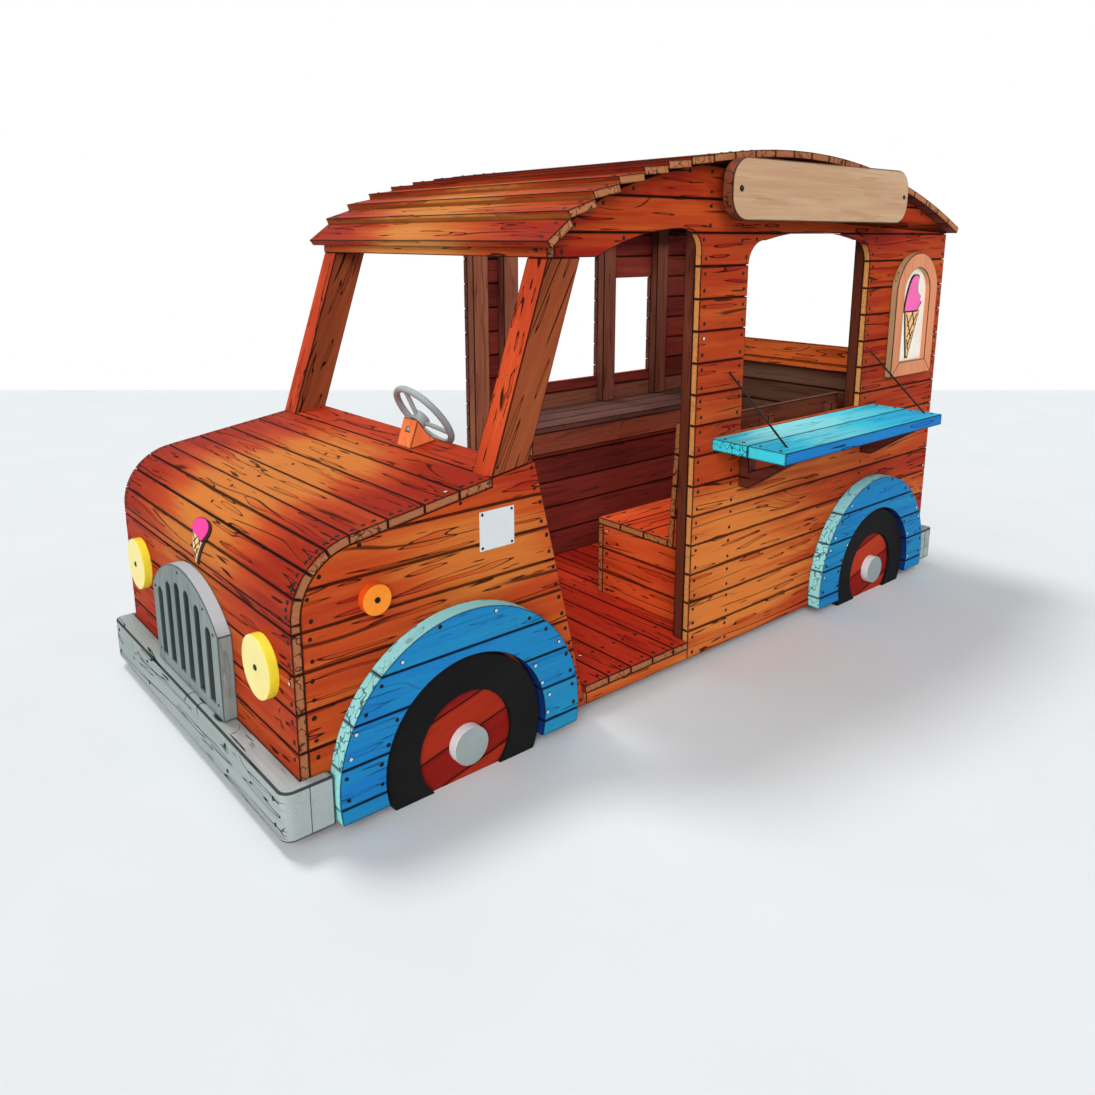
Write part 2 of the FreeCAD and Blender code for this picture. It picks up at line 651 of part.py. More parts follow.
def rear_rise(lift, sag):
    """Least height of a board's rear edge that keeps it clear of a curve that bulges by sag."""
    short = max(0.0, 4 * sag - lift)
    wide = 8 * sag - short
    return wide - math.sqrt(wide * wide - short * short)


def roof_boards():
    """Boards across the roof; towards the front each steps up over the one before it."""
    count = int(round(roof_run() / PITCH))
    step = roof_run() / count
    half = OUT + ROOF_OVERHANG
    boards = []
    for i in range(count):
        front, up_front = roof_place(i * step, BOARD)
        rear, up_rear = roof_place((i + 1) * step - GAP, BOARD)
        sag = (rear - front).Length ** 2 / (8 * roof_arc(rear.y)[2])
        lift = sag if i == 0 else max(sag, roof_lift(front.y))
        front = front + up_front * lift
        rear = rear + up_rear * rear_rise(lift, sag)
        corners = (front, rear, rear + up_rear * BOARD, front + up_front * BOARD)
        boards.append(slab([(p.y, p.z) for p in corners], (-half, half)))
    return solids(boards)


# ---------------------------------------------------------------- wheels and fenders
def ring_sector(inner, outer, y, thick, x):
    ring = cylinder(outer, thick, V(x, y, AXLE_Z), V(1, 0, 0))
    return ring.cut(cylinder(inner, thick + 2, V(x - 1, y, AXLE_Z), V(1, 0, 0)))


def four(make):
    """A left piece at the front and the rear axle, with both mirror images."""
    pieces = solids([make(-AXLE_Y), make(AXLE_Y)])
    return pieces + [mirrored(p) for p in pieces]


def above_ground(y):
    """Room for the part of a wheel that shows above the ground."""
    return box((OUT, OUT + TYRE_THICK), (y - TYRE_RADIUS, y + TYRE_RADIUS), (0, AXLE_Z + TYRE_RADIUS))


def tyre(y):
    """Flat-footed black ring that stands on the ground."""
    ring = ring_sector(TYRE_INNER_RADIUS, TYRE_RADIUS, y, TYRE_THICK, OUT)
    return ring.common(above_ground(y))


def wheel_disc(y):
    disc = cylinder(TYRE_INNER_RADIUS - FIT, DISC_THICK, V(OUT, y, AXLE_Z), V(1, 0, 0))
    return disc.common(above_ground(y))


def wheel_hub(y):
    return cylinder(HUB_RADIUS, HUB_PROUD, V(OUT + DISC_THICK, y, AXLE_Z), V(1, 0, 0))


def fender(y):
    """Left wheel arch of level boards, cut to a ring."""
    ring = ring_sector(FENDER_INNER, FENDER_OUTER, y, FENDER_THICK, OUT)
    top = AXLE_Z + FENDER_OUTER
    boards = []
    z = top
    while z > BODY_BOTTOM + GAP:
        low = max(BODY_BOTTOM, z - FENDER_PITCH + GAP)
        boards.append(box((OUT, OUT + FENDER_THICK), (y - FENDER_OUTER, y + FENDER_OUTER), (low, z)))
        z -= FENDER_PITCH
    return clipped(boards, ring)


def fenders(y):
    left = fender(y)
    return left + [mirrored(p) for p in left]


# ---------------------------------------------------------------- nose
def bumper(front):
    """A board across the end with rounded corners and short returns along the sides."""
    end = FRONT if front else REAR
    way = -1 if front else 1
    reach = AXLE_Y + math.sqrt(FENDER_OUTER ** 2 - (AXLE_Z - BUMPER_Z[0]) ** 2)
    wide = OUT + BUMPER_SIDE
    far = abs(end) + BUMPER_OUT
    back = max(reach, AXLE_Y + FENDER_OUTER) + GAP
    block = box((-wide, wide), sorted((way * back, way * far)), BUMPER_Z)
    corners = [e for e in block.Edges
               if abs(abs(e.CenterOfMass.x) - wide) < 0.1 and abs(e.CenterOfMass.y - way * far) < 0.1]
    block = block.makeFillet(BUMPER_RADIUS, corners)
    inner = box((-OUT, OUT), sorted((way * (back - 1), way * abs(end))), (0, BUMPER_Z[1] + 1))
    return solids([block.cut(inner)])


def grille():
    """Upright board with an arched head and a row of slots that follow the arch."""
    foot, spring, crown = GRILLE_Z
    rise = crown - spring
    radius = (GRILLE_HALF ** 2 + rise ** 2) / (2 * rise)
    a, b, c = V(-GRILLE_HALF, 0, spring), V(0, 0, crown), V(GRILLE_HALF, 0, spring)
    outline = Part.Wire([Part.Arc(a, b, c).toShape(), Part.makeLine(c, V(GRILLE_HALF, 0, foot)),
                         Part.makeLine(V(GRILLE_HALF, 0, foot), V(-GRILLE_HALF, 0, foot)),
                         Part.makeLine(V(-GRILLE_HALF, 0, foot), a)])
    plate = Part.Face(outline).extrude(V(0, -GRILLE_THICK, 0))
    for i in range(SLOT_COUNT):
        x = (i - (SLOT_COUNT - 1) / 2) * SLOT_PITCH
        arch = math.sqrt(radius ** 2 - x ** 2) - radius + crown
        head = arch - GRILLE_RIM - SLOT_WIDTH / 2
        slot = box((x - SLOT_WIDTH / 2, x + SLOT_WIDTH / 2), (-GRILLE_THICK - 1, 1), (SLOT_FOOT_Z, head))
        slot = slot.fuse(cylinder(SLOT_WIDTH / 2, GRILLE_THICK + 2, V(x, 1, head), V(0, -1, 0)))
        plate = plate.cut(slot)
    plate.translate(V(0, FRONT, 0))
    return solids([plate])


def headlamps():
    return [cylinder(LAMP_RADIUS, LAMP_THICK, V(x, FRONT, LAMP_Z), V(0, -1, 0))
            for x in (LAMP_INSET - OUT, OUT - LAMP_INSET)]


def indicators():
    left = cylinder(INDICATOR_RADIUS, LAMP_THICK, V(OUT, FRONT + INDICATOR_BACK, INDICATOR_Z), V(1, 0, 0))
    return [left, mirrored(left)]


# ---------------------------------------------------------------- counter, sign and picture
def counter_boards():
    boards = []
    for x0, x1 in strips(OUT, OUT + COUNTER_DEPTH, (COUNTER_DEPTH - GAP) / 2):
        boards.append(box((x0, x1), past_hatch(COUNTER_PAST), (COUNTER_UNDER, HATCH_SILL_Z)))
    return boards


def counter_brackets():
    """Under each end of the counter: a wall leg, a short arm and a diagonal between them."""
    top = COUNTER_UNDER
    low = top - BRACKET_DROP
    reach = OUT + BRACKET_ARM
    front, rear = past_hatch(BRACKET_PAST)
    brackets = []
    for y in (front, rear - BRACKET_BAR):
        leg = box((OUT, OUT + BRACKET_BAR), (y, y + BRACKET_BAR), (low, top))
        arm = box((OUT, reach), (y, y + BRACKET_BAR), (top - BRACKET_BAR, top))
        brace = across([(OUT, low), (OUT + BRACKET_BAR, low), (reach, top - BRACKET_BAR),
                        (reach - BRACKET_BAR, top - BRACKET_BAR), (OUT, low + BRACKET_BAR)],
                       (y, y + BRACKET_BAR))
        brackets.append(leg.fuse(arm).fuse(brace).removeSplitter())
    return solids(brackets)


def counter_stays():
    """Tight rods from the wall down to the counter's outer board."""
    rods = []
    spare = 5 * STAY_RADIUS
    for y in past_hatch(STAY_PAST):
        a = V(OUT, y, STAY_WALL_Z)
        b = V(OUT + STAY_OUT, y, HATCH_SILL_Z)
        way = (b - a).normalize()
        rod = cylinder(STAY_RADIUS, (b - a).Length + 2 * spare, a - way * spare, way)
        rods.append(rod.common(box((OUT, OUT + COUNTER_DEPTH), (y - spare, y + spare),
                                   (HATCH_SILL_Z, STAY_WALL_Z + spare))))
    return solids(rods)


def sign_board():
    x = OUT + SIGN_STAND_OFF
    plate = box((x, x + SIGN_THICK), past_hatch(SIGN_PAST), (SIGN_TOP_Z - SIGN_HEIGHT, SIGN_TOP_Z))
    corners = [e for e in plate.Edges if abs(e.BoundBox.XLength - SIGN_THICK) < 0.1]
    return solids([plate.makeFillet(SIGN_CORNER, corners)])


def sign_spacers():
    z = SIGN_TOP_Z - SIGN_HEIGHT / 2
    front, rear = past_hatch(SIGN_PAST)
    return [cylinder(SPACER_RADIUS, SIGN_STAND_OFF, V(OUT, y, z), V(1, 0, 0))
            for y in (front + SPACER_INSET, rear - SPACER_INSET)]


def arch_outline(inset):
    """Arched outline of the picture frame, moved in by an inset."""
    y0, y1 = FRAME_Y[0] + inset, FRAME_Y[1] - inset
    radius = (y1 - y0) / 2
    return [(y0, FRAME_FOOT_Z + inset), (y0, FRAME_SPRING_Z),
            (y1, FRAME_SPRING_Z, (y0 + y1) / 2, FRAME_SPRING_Z + radius), (y1, FRAME_FOOT_Z + inset)]


def picture_frame():
    frame = slab(arch_outline(0), (OUT, OUT + FRAME_THICK))
    return solids([frame.cut(slab(arch_outline(FRAME_BORDER), (OUT - 1, OUT + FRAME_THICK + 1)))])


def picture_panel():
    return solids([slab(arch_outline(FRAME_BORDER + FIT), (OUT, OUT + PANEL_THICK))])


# ---------------------------------------------------------------- steering
def steering_axis():
    """From the column block towards the driver."""
    tilt = math.radians(WHEEL_TILT)
    return V(0, math.cos(tilt), math.sin(tilt))


def rim_centre():
    return V(WHEEL_X, COWL_END_Y - WHEEL_LEAD, hood_z(COWL_END_Y) + WHEEL_RISE)


def hub_centre():
    return rim_centre() - steering_axis() * WHEEL_DISH


def steering_wheel():
    """Rim, three dished spokes, hub and shaft in one piece."""
    axis = steering_axis()
    wheel = Part.makeTorus(RIM_RADIUS, RIM_TUBE, rim_centre(), axis)
    hub = cylinder(WHEEL_HUB_RADIUS, WHEEL_HUB_DEPTH, hub_centre() - axis * (WHEEL_HUB_DEPTH / 2), axis)
    wheel = wheel.fuse(hub)
    for angle in SPOKE_ANGLES:
        a = math.radians(angle)
        tilt = math.radians(WHEEL_TILT)
        out = V(math.cos(a), -math.sin(a) * math.sin(tilt), math.sin(a) * math.cos(tilt))
        start = hub_centre() + out * (WHEEL_HUB_RADIUS / 2)
        end = rim_centre() + out * RIM_RADIUS
        wheel = wheel.fuse(cylinder(SPOKE_RADIUS, (end - start).Length, start, end - start))
    shaft = cylinder(SHAFT_RADIUS, SHAFT_LENGTH, hub_centre() - axis * SHAFT_LENGTH, axis)
    return solids([wheel.fuse(shaft)])


def steering_block():
    """Wedge on the windscreen sill that carries the shaft."""
    axis = steering_axis()
    face = hub_centre() - axis * (WHEEL_HUB_DEPTH / 2 + BLOCK_CLEAR)
    rear_y = COWL_END_Y - BLOCK_INSET
    front_y = rear_y - BLOCK_LENGTH
    x0, x1 = WHEEL_X - BLOCK_WIDTH / 2, WHEEL_X + BLOCK_WIDTH / 2
    up = V(0, -axis.z, axis.y)
    top = face + up * WHEEL_HUB_RADIUS
    low = face - up * WHEEL_HUB_RADIUS
    outline = [(front_y, hood_z(front_y)), (top.y, top.z), (low.y, low.z), (rear_y, hood_z(rear_y))]
    block = slab(outline, (x0, x1))
    bore_length = SHAFT_LENGTH + 2
    bore = cylinder(SHAFT_RADIUS + SHAFT_CLEARANCE, bore_length, hub_centre() - axis * bore_length, axis)
    return solids([block.cut(bore)])


# ---------------------------------------------------------------- bench and worktop
def bench_ends():
    """Front and rear panels of the bench box, and above them the panels behind its back."""
    under = BENCH_TOP_Z - BOARD
    boards = []
    for y in (BENCH_Y[0], BENCH_Y[1] - BOARD):
        for z0, z1 in strips(FLOOR_TOP, under, BOARD_WIDE):
            boards.append(box((BENCH_X + BOARD, POST_IN), (y, y + BOARD), (z0, z1)))
        for z0, z1 in strips(under + GAP, BENCH_BACK_Z, BOARD_WIDE):
            behind = BOARD + FIT
            boards.append(across([(back_x(z0) + behind, z0), (back_x(z1) + behind, z1),
                                  (POST_IN, z1), (POST_IN, z0)], (y, y + BOARD)))
    return boards


def bench_side():
    return [box((BENCH_X, BENCH_X + BOARD), BENCH_Y, row)
            for row in strips(FLOOR_TOP, BENCH_TOP_Z - BOARD, BOARD_WIDE)]


def bench_seat():
    under = BENCH_TOP_Z - BOARD
    return [box(x, BENCH_Y, (under, BENCH_TOP_Z)) for x in strips(BENCH_X, back_x(under) - FIT, BOARD_WIDE)]


def back_x(z):
    """Front face of the bench's leaning back."""
    return BENCH_X + BENCH_DEPTH + (z - BENCH_TOP_Z) * BENCH_BACK_LEAN


def leaning(z0, z1, depth0, depth1, y):
    """A piece that leans with the back, between two heights and two depths behind its face."""
    return across([(back_x(z0) + depth0, z0), (back_x(z1) + depth0, z1),
                   (back_x(z1) + depth1, z1), (back_x(z0) + depth1, z0)], y)


def bench_back():
    return solids([leaning(z0, z1, 0, BOARD, BENCH_Y)
                   for z0, z1 in strips(BENCH_TOP_Z - BOARD, BENCH_BACK_Z, BOARD_WIDE)])


def bench_battens():
    first = BENCH_Y[0] + BOARD
    last = HATCH_REAR_Y - BATTEN - GAP
    return solids([leaning(FLOOR_TOP, BENCH_BACK_Z - BOARD, BOARD, BOARD + BATTEN, (y, y + BATTEN))
                   for y in (first, (first + last) / 2, last)])


def worktop_run():
    """Between the door's rear post and the rear corner post."""
    return (DOOR_REAR_Y + POST_W, REAR - BOARD - POST_W)


def worktop():
    return [box(x, worktop_run(), (WORKTOP_Z - BOARD, WORKTOP_Z))
            for x in strips(-IN, WORKTOP_EDGE_X, BOARD_WIDE)]


def worktop_front():
    """Boarding under the worktop with an apron along its top, and a panel at the front end."""
    face = WORKTOP_EDGE_X - BOARD
    run = worktop_run()
    levels = strips(FLOOR_TOP, WORKTOP_Z - BOARD, BOARD_WIDE)
    boards = [box((face - BOARD, face), run, level) for level in levels]
    ends = [box((-IN, face - BOARD - FIT), (run[0], run[0] + BOARD), level) for level in levels]
    apron = box((face, WORKTOP_EDGE_X), run, (WORKTOP_Z - BOARD - APRON_HEIGHT, WORKTOP_Z - BOARD))
    return boards + ends + [apron]


# ---------------------------------------------------------------- all nodes
def nodes():
    left_side = side_front()
    left_pillar = windscreen_pillar()
    return {
        "long_bearers": long_bearers(),
        "cross_bearers": cross_bearers(),
        "floor_boards": floor_boards(),
        "door_sills": door_sills(),
        "front_boards": front_boards(),
        "hood_boards": hood_boards(),
        "side_front_left": left_side,
        "side_front_right": [mirrored(b) for b in left_side],
        "side_rear_left": side_rear_left(),
        "side_rear_right": side_rear_right(),
        "rear_boards": rear_boards(),
        "rear_rail": rear_rail(),
        "wall_posts_left": wall_posts_left(),
        "wall_posts_right": wall_posts_right(),
        "windscreen_pillar_left": left_pillar,
        "windscreen_pillar_right": [mirrored(p) for p in left_pillar],
        "header_front": header_front(),
        "dash_boards": dash_boards(),
        "roof_ribs": roof_ribs(),
        "roof_boards": roof_boards(),
        "bumper_front": bumper(True),
        "bumper_rear": bumper(False),
        "grille": grille(),
        "headlamps": headlamps(),
        "indicators": indicators(),
        "fenders_front": fenders(-AXLE_Y),
        "fenders_rear": fenders(AXLE_Y),
        "tyres": four(tyre),
        "wheel_discs": four(wheel_disc),
        "wheel_hubs": four(wheel_hub),
        "counter_boards": counter_boards(),
        "counter_brackets": counter_brackets(),
        "counter_stays": counter_stays(),
        "sign_board": sign_board(),
        "sign_spacers": sign_spacers(),
        "picture_frame": picture_frame(),
        "picture_panel": picture_panel(),
        "steering_block": steering_block(),
        "steering_wheel": steering_wheel(),
        "bench_ends": bench_ends(),
        "bench_side": bench_side(),
        "bench_seat": bench_seat(),
        "bench_back": bench_back(),
        "bench_battens": bench_battens(),
        "worktop": worktop(),
        "worktop_front": worktop_front(),
    }


os.makedirs("parts", exist_ok=True)
for name, pieces in nodes().items():
    shape = pieces[0] if len(pieces) == 1 else Part.makeCompound(pieces)
    shape.exportStep("parts/" + name + ".step")
    print(name, len(pieces), round(sum(p.Volume for p in pieces) / 1e9, 5))
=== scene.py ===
"""Looks of a wooden play truck: stained boards, painted arches, screws, lamps and signs on its frame."""
import math
import random

import bmesh
import bpy
from mathutils import Matrix, Vector
from mathutils.bvhtree import BVHTree


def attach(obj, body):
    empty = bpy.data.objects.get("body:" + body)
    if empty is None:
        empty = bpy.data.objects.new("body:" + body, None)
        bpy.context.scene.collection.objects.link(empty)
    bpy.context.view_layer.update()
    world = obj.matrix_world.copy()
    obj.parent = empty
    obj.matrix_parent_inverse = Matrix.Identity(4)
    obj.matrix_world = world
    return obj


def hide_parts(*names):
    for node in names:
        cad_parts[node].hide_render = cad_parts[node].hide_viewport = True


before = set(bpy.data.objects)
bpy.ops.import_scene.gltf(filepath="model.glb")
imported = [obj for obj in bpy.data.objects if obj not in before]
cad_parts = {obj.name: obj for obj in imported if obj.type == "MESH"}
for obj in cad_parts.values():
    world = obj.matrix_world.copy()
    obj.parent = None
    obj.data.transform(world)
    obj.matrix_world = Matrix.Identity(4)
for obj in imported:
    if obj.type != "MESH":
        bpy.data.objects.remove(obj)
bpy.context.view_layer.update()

X, Y, Z = Vector((1, 0, 0)), Vector((0, 1, 0)), Vector((0, 0, 1))
rng = random.Random(7)

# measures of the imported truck, in metres
AXLE_Y, AXLE_Z, ARCH_RADIUS = 1.155, 0.118, 0.442
DISC_ACROSS = Vector((0, -0.24, 0.97)).normalized()
DISC_PITCH, DISC_OFFSET = 0.112, 0.008
BEND_RADIUS, BEND_Y, BEND_Z = 0.215, -1.465, 0.640
GRILLE_RADIUS, GRILLE_TOP = 0.3879, 0.606
SLOTS, SLOT_PITCH, SLOT_HALF, SLOT_FOOT, SLOT_BELOW_TOP = 6, 0.087, 0.0235, 0.233, 0.058
WALL_X, PICTURE_Y, PICTURE_Z = 0.730, 1.395, 1.3
SHAFT_PLACE, SHAFT_AXIS = Vector((0.2, -0.92, 1.027)), Vector((0, 0.80902, 0.58779))
BORE_REACH, BORE_EASE = 0.0135, 0.0008
PILLAR_SLOPE = Vector((0, 0.432, 0.875)).normalized()

# how the looks are set on
WELD, FLAT_TURN = 1e-5, math.radians(0.4)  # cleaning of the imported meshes
LEAST_BOARD = 0.004  # narrowest board that sawing leaves
END_FROM, END_BLEND = 0.55, 0.2  # slant at which a face starts to show end grain
STRIP_HALF, STRIP_IN, STRIP_ON = 0.003, 0.002, 0.003  # joint strips: half thickness, hold in boards, run-on
CURVED_IN, CURVED_HALF = 0.003, 0.002  # the same where boards follow a curve
PROBE_IN, PROBE_END, NUDGE = 0.004, 0.0035, 0.0002  # where joint rays start: in from a board's edge and end
LINE_HALF, LINE_RISE = 0.0009, 0.0006  # thin dark lines
RAY = 0.2  # how far outside a surface rays start
CAMERA_YAW, CAMERA_PITCH = math.radians(49.523), math.radians(12.510)
FLOOR_HALF, FLOOR_DEPTH, FLOOR_Z = 8, 5.955, -0.0005


def placed(name, data):
    """A new object in the scene."""
    made = bpy.data.objects.new(name, data)
    bpy.context.scene.collection.objects.link(made)
    return made


# ---------- colours and node trees
def hexed(code):
    """Linear colour from six hexadecimal digits."""
    values = [int(code[i:i + 2], 16) / 255 for i in (0, 2, 4)]
    linear = [v / 12.92 if v <= 0.04045 else ((v + 0.055) / 1.055) ** 2.4 for v in values]
    return (*linear, 1.0)


class Tree:
    """Adds nodes to a tree. Any input takes a plain value or another node's socket."""

    def __init__(self, tree):
        self.tree = tree

    def link(self, source, target):
        self.tree.links.new(source, target)

    def add(self, kind, values=(), **settings):
        made = self.tree.nodes.new(kind)
        for key, value in settings.items():
            setattr(made, key, value)
        for key, value in dict(values).items():
            if isinstance(value, bpy.types.NodeSocket):
                self.link(value, made.inputs[key])
            else:
                made.inputs[key].default_value = value
        return made

    def maths(self, operation, first, *others):
        """A Math node, or a chain of them where more than two values meet."""
        made = self.add("ShaderNodeMath", enumerate((first, *others[:1])), operation=operation).outputs[0]
        return self.maths(operation, made, *others[1:]) if others[1:] else made

    def times(self, *values):
        return self.maths("MULTIPLY", *values)

    def vector(self, operation, *values):
        return self.add("ShaderNodeVectorMath", enumerate(values), operation=operation).outputs[0]

    def length(self, vector):
        return self.add("ShaderNodeVectorMath", {0: vector}, operation="LENGTH").outputs["Value"]

    def split(self, vector):
        return self.add("ShaderNodeSeparateXYZ", {0: vector}).outputs

    def attribute(self, name, output="Vector"):
        return self.add("ShaderNodeAttribute", attribute_name=name).outputs[output]

    def stretched(self, at, scale):
        """Place times scale, which is (along, across) or three numbers."""
        return self.vector("MULTIPLY", at, (*scale, scale[-1])[:3])

    def noise(self, at, scale, detail=2.0, roughness=0.5):
        return self.add("ShaderNodeTexNoise", {"Vector": self.stretched(at, scale), "Scale": 1.0,
                                               "Detail": detail, "Roughness": roughness}).outputs["Fac"]

    def cells(self, at, scale, randomness=0.85):
        """Random cells: distance to the middle of the cell, and its random number."""
        made = self.add("ShaderNodeTexVoronoi", {"Vector": self.stretched(at, scale), "Scale": 1.0,
                                                 "Randomness": randomness})
        return made.outputs["Distance"], self.split(made.outputs["Color"])[0]

    def step(self, value, low, high, start=0.0, end=1.0):
        """Smooth step from start to end as value goes from low to high."""
        return self.add("ShaderNodeMapRange", {0: value, 1: low, 2: high, 3: start, 4: end},
                        interpolation_type="SMOOTHSTEP").outputs[0]

    def contour(self, value, level, narrow, wide):
        """One along a contour line of a value, fading to nothing beside it."""
        return self.step(self.maths("ABSOLUTE", self.maths("SUBTRACT", value, level)), narrow, wide, 1.0, 0.0)

    def mix(self, amount, first, second, how="MIX"):
        return self.add("ShaderNodeMix", {0: amount, 6: first, 7: second}, data_type="RGBA",
                        blend_type=how).outputs[2]

    def total(self, *terms):
        """Sum of plain sockets and of (socket, weight) pairs."""
        whole = None
        for term in terms:
            part = self.times(*term) if isinstance(term, tuple) else term
            whole = part if whole is None else self.maths("ADD", whole, part)
        return whole


def group(name, tree_type, inputs, outputs):
    """An empty node group with sockets {kind: titles}; its input node's sockets and its output node's."""
    tree = bpy.data.node_groups.new(name, tree_type)
    for way, kinds in (("INPUT", inputs), ("OUTPUT", outputs)):
        for kind, titles in kinds.items():
            for title in titles:
                tree.interface.new_socket(title, in_out=way, socket_type="NodeSocket" + kind)
    made = Tree(tree)
    return made, made.add("NodeGroupInput").outputs, made.add("NodeGroupOutput").inputs


def wood_ink(n, grain, waved, given):
    """Dark marks of the wood: figure lines, knots, leaf-shaped checks and short dashes; and the rings."""
    near, number = n.cells(waved, (1.5, 5.0))
    wanted = n.step(number, 0.66, 0.68)
    knot = n.times(wanted, n.step(near, 0.03, 0.07, 1.0, 0.0))
    bulge = n.times(wanted, n.step(near, 0.02, 0.5, 1.0, 0.0))
    field = n.total((n.split(waved)[1], 13.0), (n.noise(waved, (0.7, 6.0), 1.0), 3.6), (bulge, 2.6))
    ring = n.times(n.maths("PINGPONG", field, 0.5), 2.0)
    broken = n.step(n.noise(grain, (2.0, 17.0), 2.0), 0.49, 0.58)
    line = n.times(n.step(ring, 0.88, 0.96), broken, given["Figure"])
    leaf = n.noise(waved, (4.5, 52.0), 0.0)
    loop = n.times(n.contour(leaf, 0.69, 0.010, 0.028), given["Checks"])
    dash = n.times(n.step(n.noise(waved, (8.0, 105.0), 1.0), 0.665, 0.70),
                   n.step(n.noise(grain, (3.0, 13.0), 1.0), 0.54, 0.64), given["Checks"])
    ink = n.maths("MINIMUM", n.maths("MAXIMUM", line, loop, dash, knot), 0.96)
    return ink, ring, n.step(leaf, 0.66, 0.72)


def wood_stain(n, waved, ring, leaf, given):
    """Stain from deep to pale, with brush streaks and board by board; painted_glow adds a wide paler patch of
    painted light.
    """
    tone = n.split(n.attribute("tone"))
    body = n.add("ShaderNodeTexCoord").outputs["Object"]
    reach = n.vector("DIVIDE", n.vector("SUBTRACT", body, given["Glow Place"]), given["Glow Reach"])
    painted_glow = n.times(n.step(n.length(reach), 0.1, 1.05, 1.0, 0.0), given["Glow"])
    level = n.total((n.noise(waved, (0.9, 9.0), 3.0, 0.55), 0.62),
                    (n.noise(body, (1.5, 1.5, 1.9), 1.0), 0.42),
                    (n.noise(waved, (2.2, 46.0), 2.0), 0.30),
                    (n.maths("SUBTRACT", tone[0], 0.5), given["Variety"]),
                    (ring, 0.07), (leaf, -0.14), painted_glow, given["Bias"])
    colour = n.mix(n.step(level, 0.42, 0.76), given["Deep"], given["Warm"])
    return n.mix(n.step(level, 0.70, 1.08), colour, given["Pale"])


def sawn_end(n, grain, shade, given):
    """End grain: growth rings and drying cracks."""
    across = n.split(grain)
    rings = n.add("ShaderNodeCombineXYZ", {1: n.times(across[1], 0.55), 2: across[2]}).outputs[0]
    rings = n.total((n.length(rings), 150.0), (n.noise(grain, (30.0, 40.0), 2.0), 2.5))
    rings = n.times(n.step(n.times(n.maths("PINGPONG", rings, 0.5), 2.0), 0.55, 0.95), given["Sawn"])
    cracked = n.step(n.split(n.attribute("tone"))[2], 0.35, 0.45)
    crack = n.contour(n.noise(grain, (22.0, 30.0), 1.0), 0.5, 0.008, 0.035)
    crack = n.times(crack, cracked, given["Sawn"])
    colour = n.mix(n.times(rings, 0.40), given["End"], n.mix(0.5, given["End"], given["Dark"]))
    return n.mix(n.times(crack, 0.8), n.mix(1.0, colour, shade, "MULTIPLY"), given["Dark"]), rings, crack


def timber_pattern():
    """Colour, gloss and relief of boards."""
    n, given, out = group(
        "timber_pattern", "ShaderNodeTree",
        {"Color": ("Pale", "Warm", "Deep", "End", "Dark"), "Vector": ("Glow Place", "Glow Reach"),
         "Float": ("Glow", "Bias", "Variety", "Figure", "Checks", "Sawn", "Edge")},
        {"Color": ("Color",), "Float": ("Roughness", "Height")})
    place = n.attribute("place")
    grain = n.vector("ADD", place, n.attribute("shift"))
    sway = n.times(n.maths("SUBTRACT", n.noise(grain, (1.3, 3.0), 1.0), 0.5), 0.035)
    waved = n.vector("ADD", grain, n.add("ShaderNodeCombineXYZ", {1: sway, 2: sway}).outputs[0])
    fibre = n.noise(grain, (6.0, 230.0), 3.0, 0.6)
    shade = n.maths("ADD", 0.84, n.times(fibre, 0.32))
    shade = n.add("ShaderNodeCombineColor", {0: shade, 1: shade, 2: shade}).outputs[0]
    ink, ring, leaf = wood_ink(n, grain, waved, given)
    face = n.mix(1.0, wood_stain(n, waved, ring, leaf, given), shade, "MULTIPLY")
    sawn, rings, crack = sawn_end(n, grain, shade, given)
    end = n.attribute("end", "Fac")
    colour = n.mix(end, n.mix(ink, face, given["Dark"]), sawn)
    # dirt and painted shade towards the edges of each board, darkest on the rounded edges
    left = n.split(n.vector("SUBTRACT", n.attribute("half"), n.vector("ABSOLUTE", place)))
    low, high = n.maths("MINIMUM", left[0], left[1]), n.maths("MAXIMUM", left[0], left[1])
    inward = n.maths("MAXIMUM", low, n.maths("MINIMUM", high, left[2]))
    ragged = n.times(n.noise(grain, (14.0, 60.0), 2.0), 0.016)
    dirt_and_painted_shade = n.times(n.step(inward, 0.0, ragged, 1.0, 0.0), 0.55)
    dirt_and_painted_shade = n.maths("MAXIMUM", dirt_and_painted_shade, n.times(n.attribute("rim", "Fac"), 0.90))
    colour = n.mix(n.times(dirt_and_painted_shade, given["Edge"]), colour, given["Dark"])
    n.link(colour, out["Color"])
    n.link(n.total((fibre, 0.20), (ink, 0.20), 0.50), out["Roughness"])
    marks = n.times(n.maths("MAXIMUM", rings, crack), end)
    n.link(n.total((fibre, 0.35), (ink, -0.9), (marks, -0.5)), out["Height"])
    return n.tree


TIMBER = timber_pattern()


def surface(name, specular, metallic=0.0, coat=0.0):
    """A new material: its tree, its Principled node and its Bump node."""
    made = bpy.data.materials.new(name)
    made.use_nodes = True
    n = Tree(made.node_tree)
    shader = made.node_tree.nodes["Principled BSDF"]
    for title, value in (("Specular IOR Level", specular), ("Metallic", metallic), ("Coat Weight", coat)):
        shader.inputs[title].default_value = value
    bump = n.add("ShaderNodeBump", {"Strength": 0.6, "Distance": 0.0015})
    n.link(bump.outputs[0], shader.inputs["Normal"])
    return made, n, shader, bump


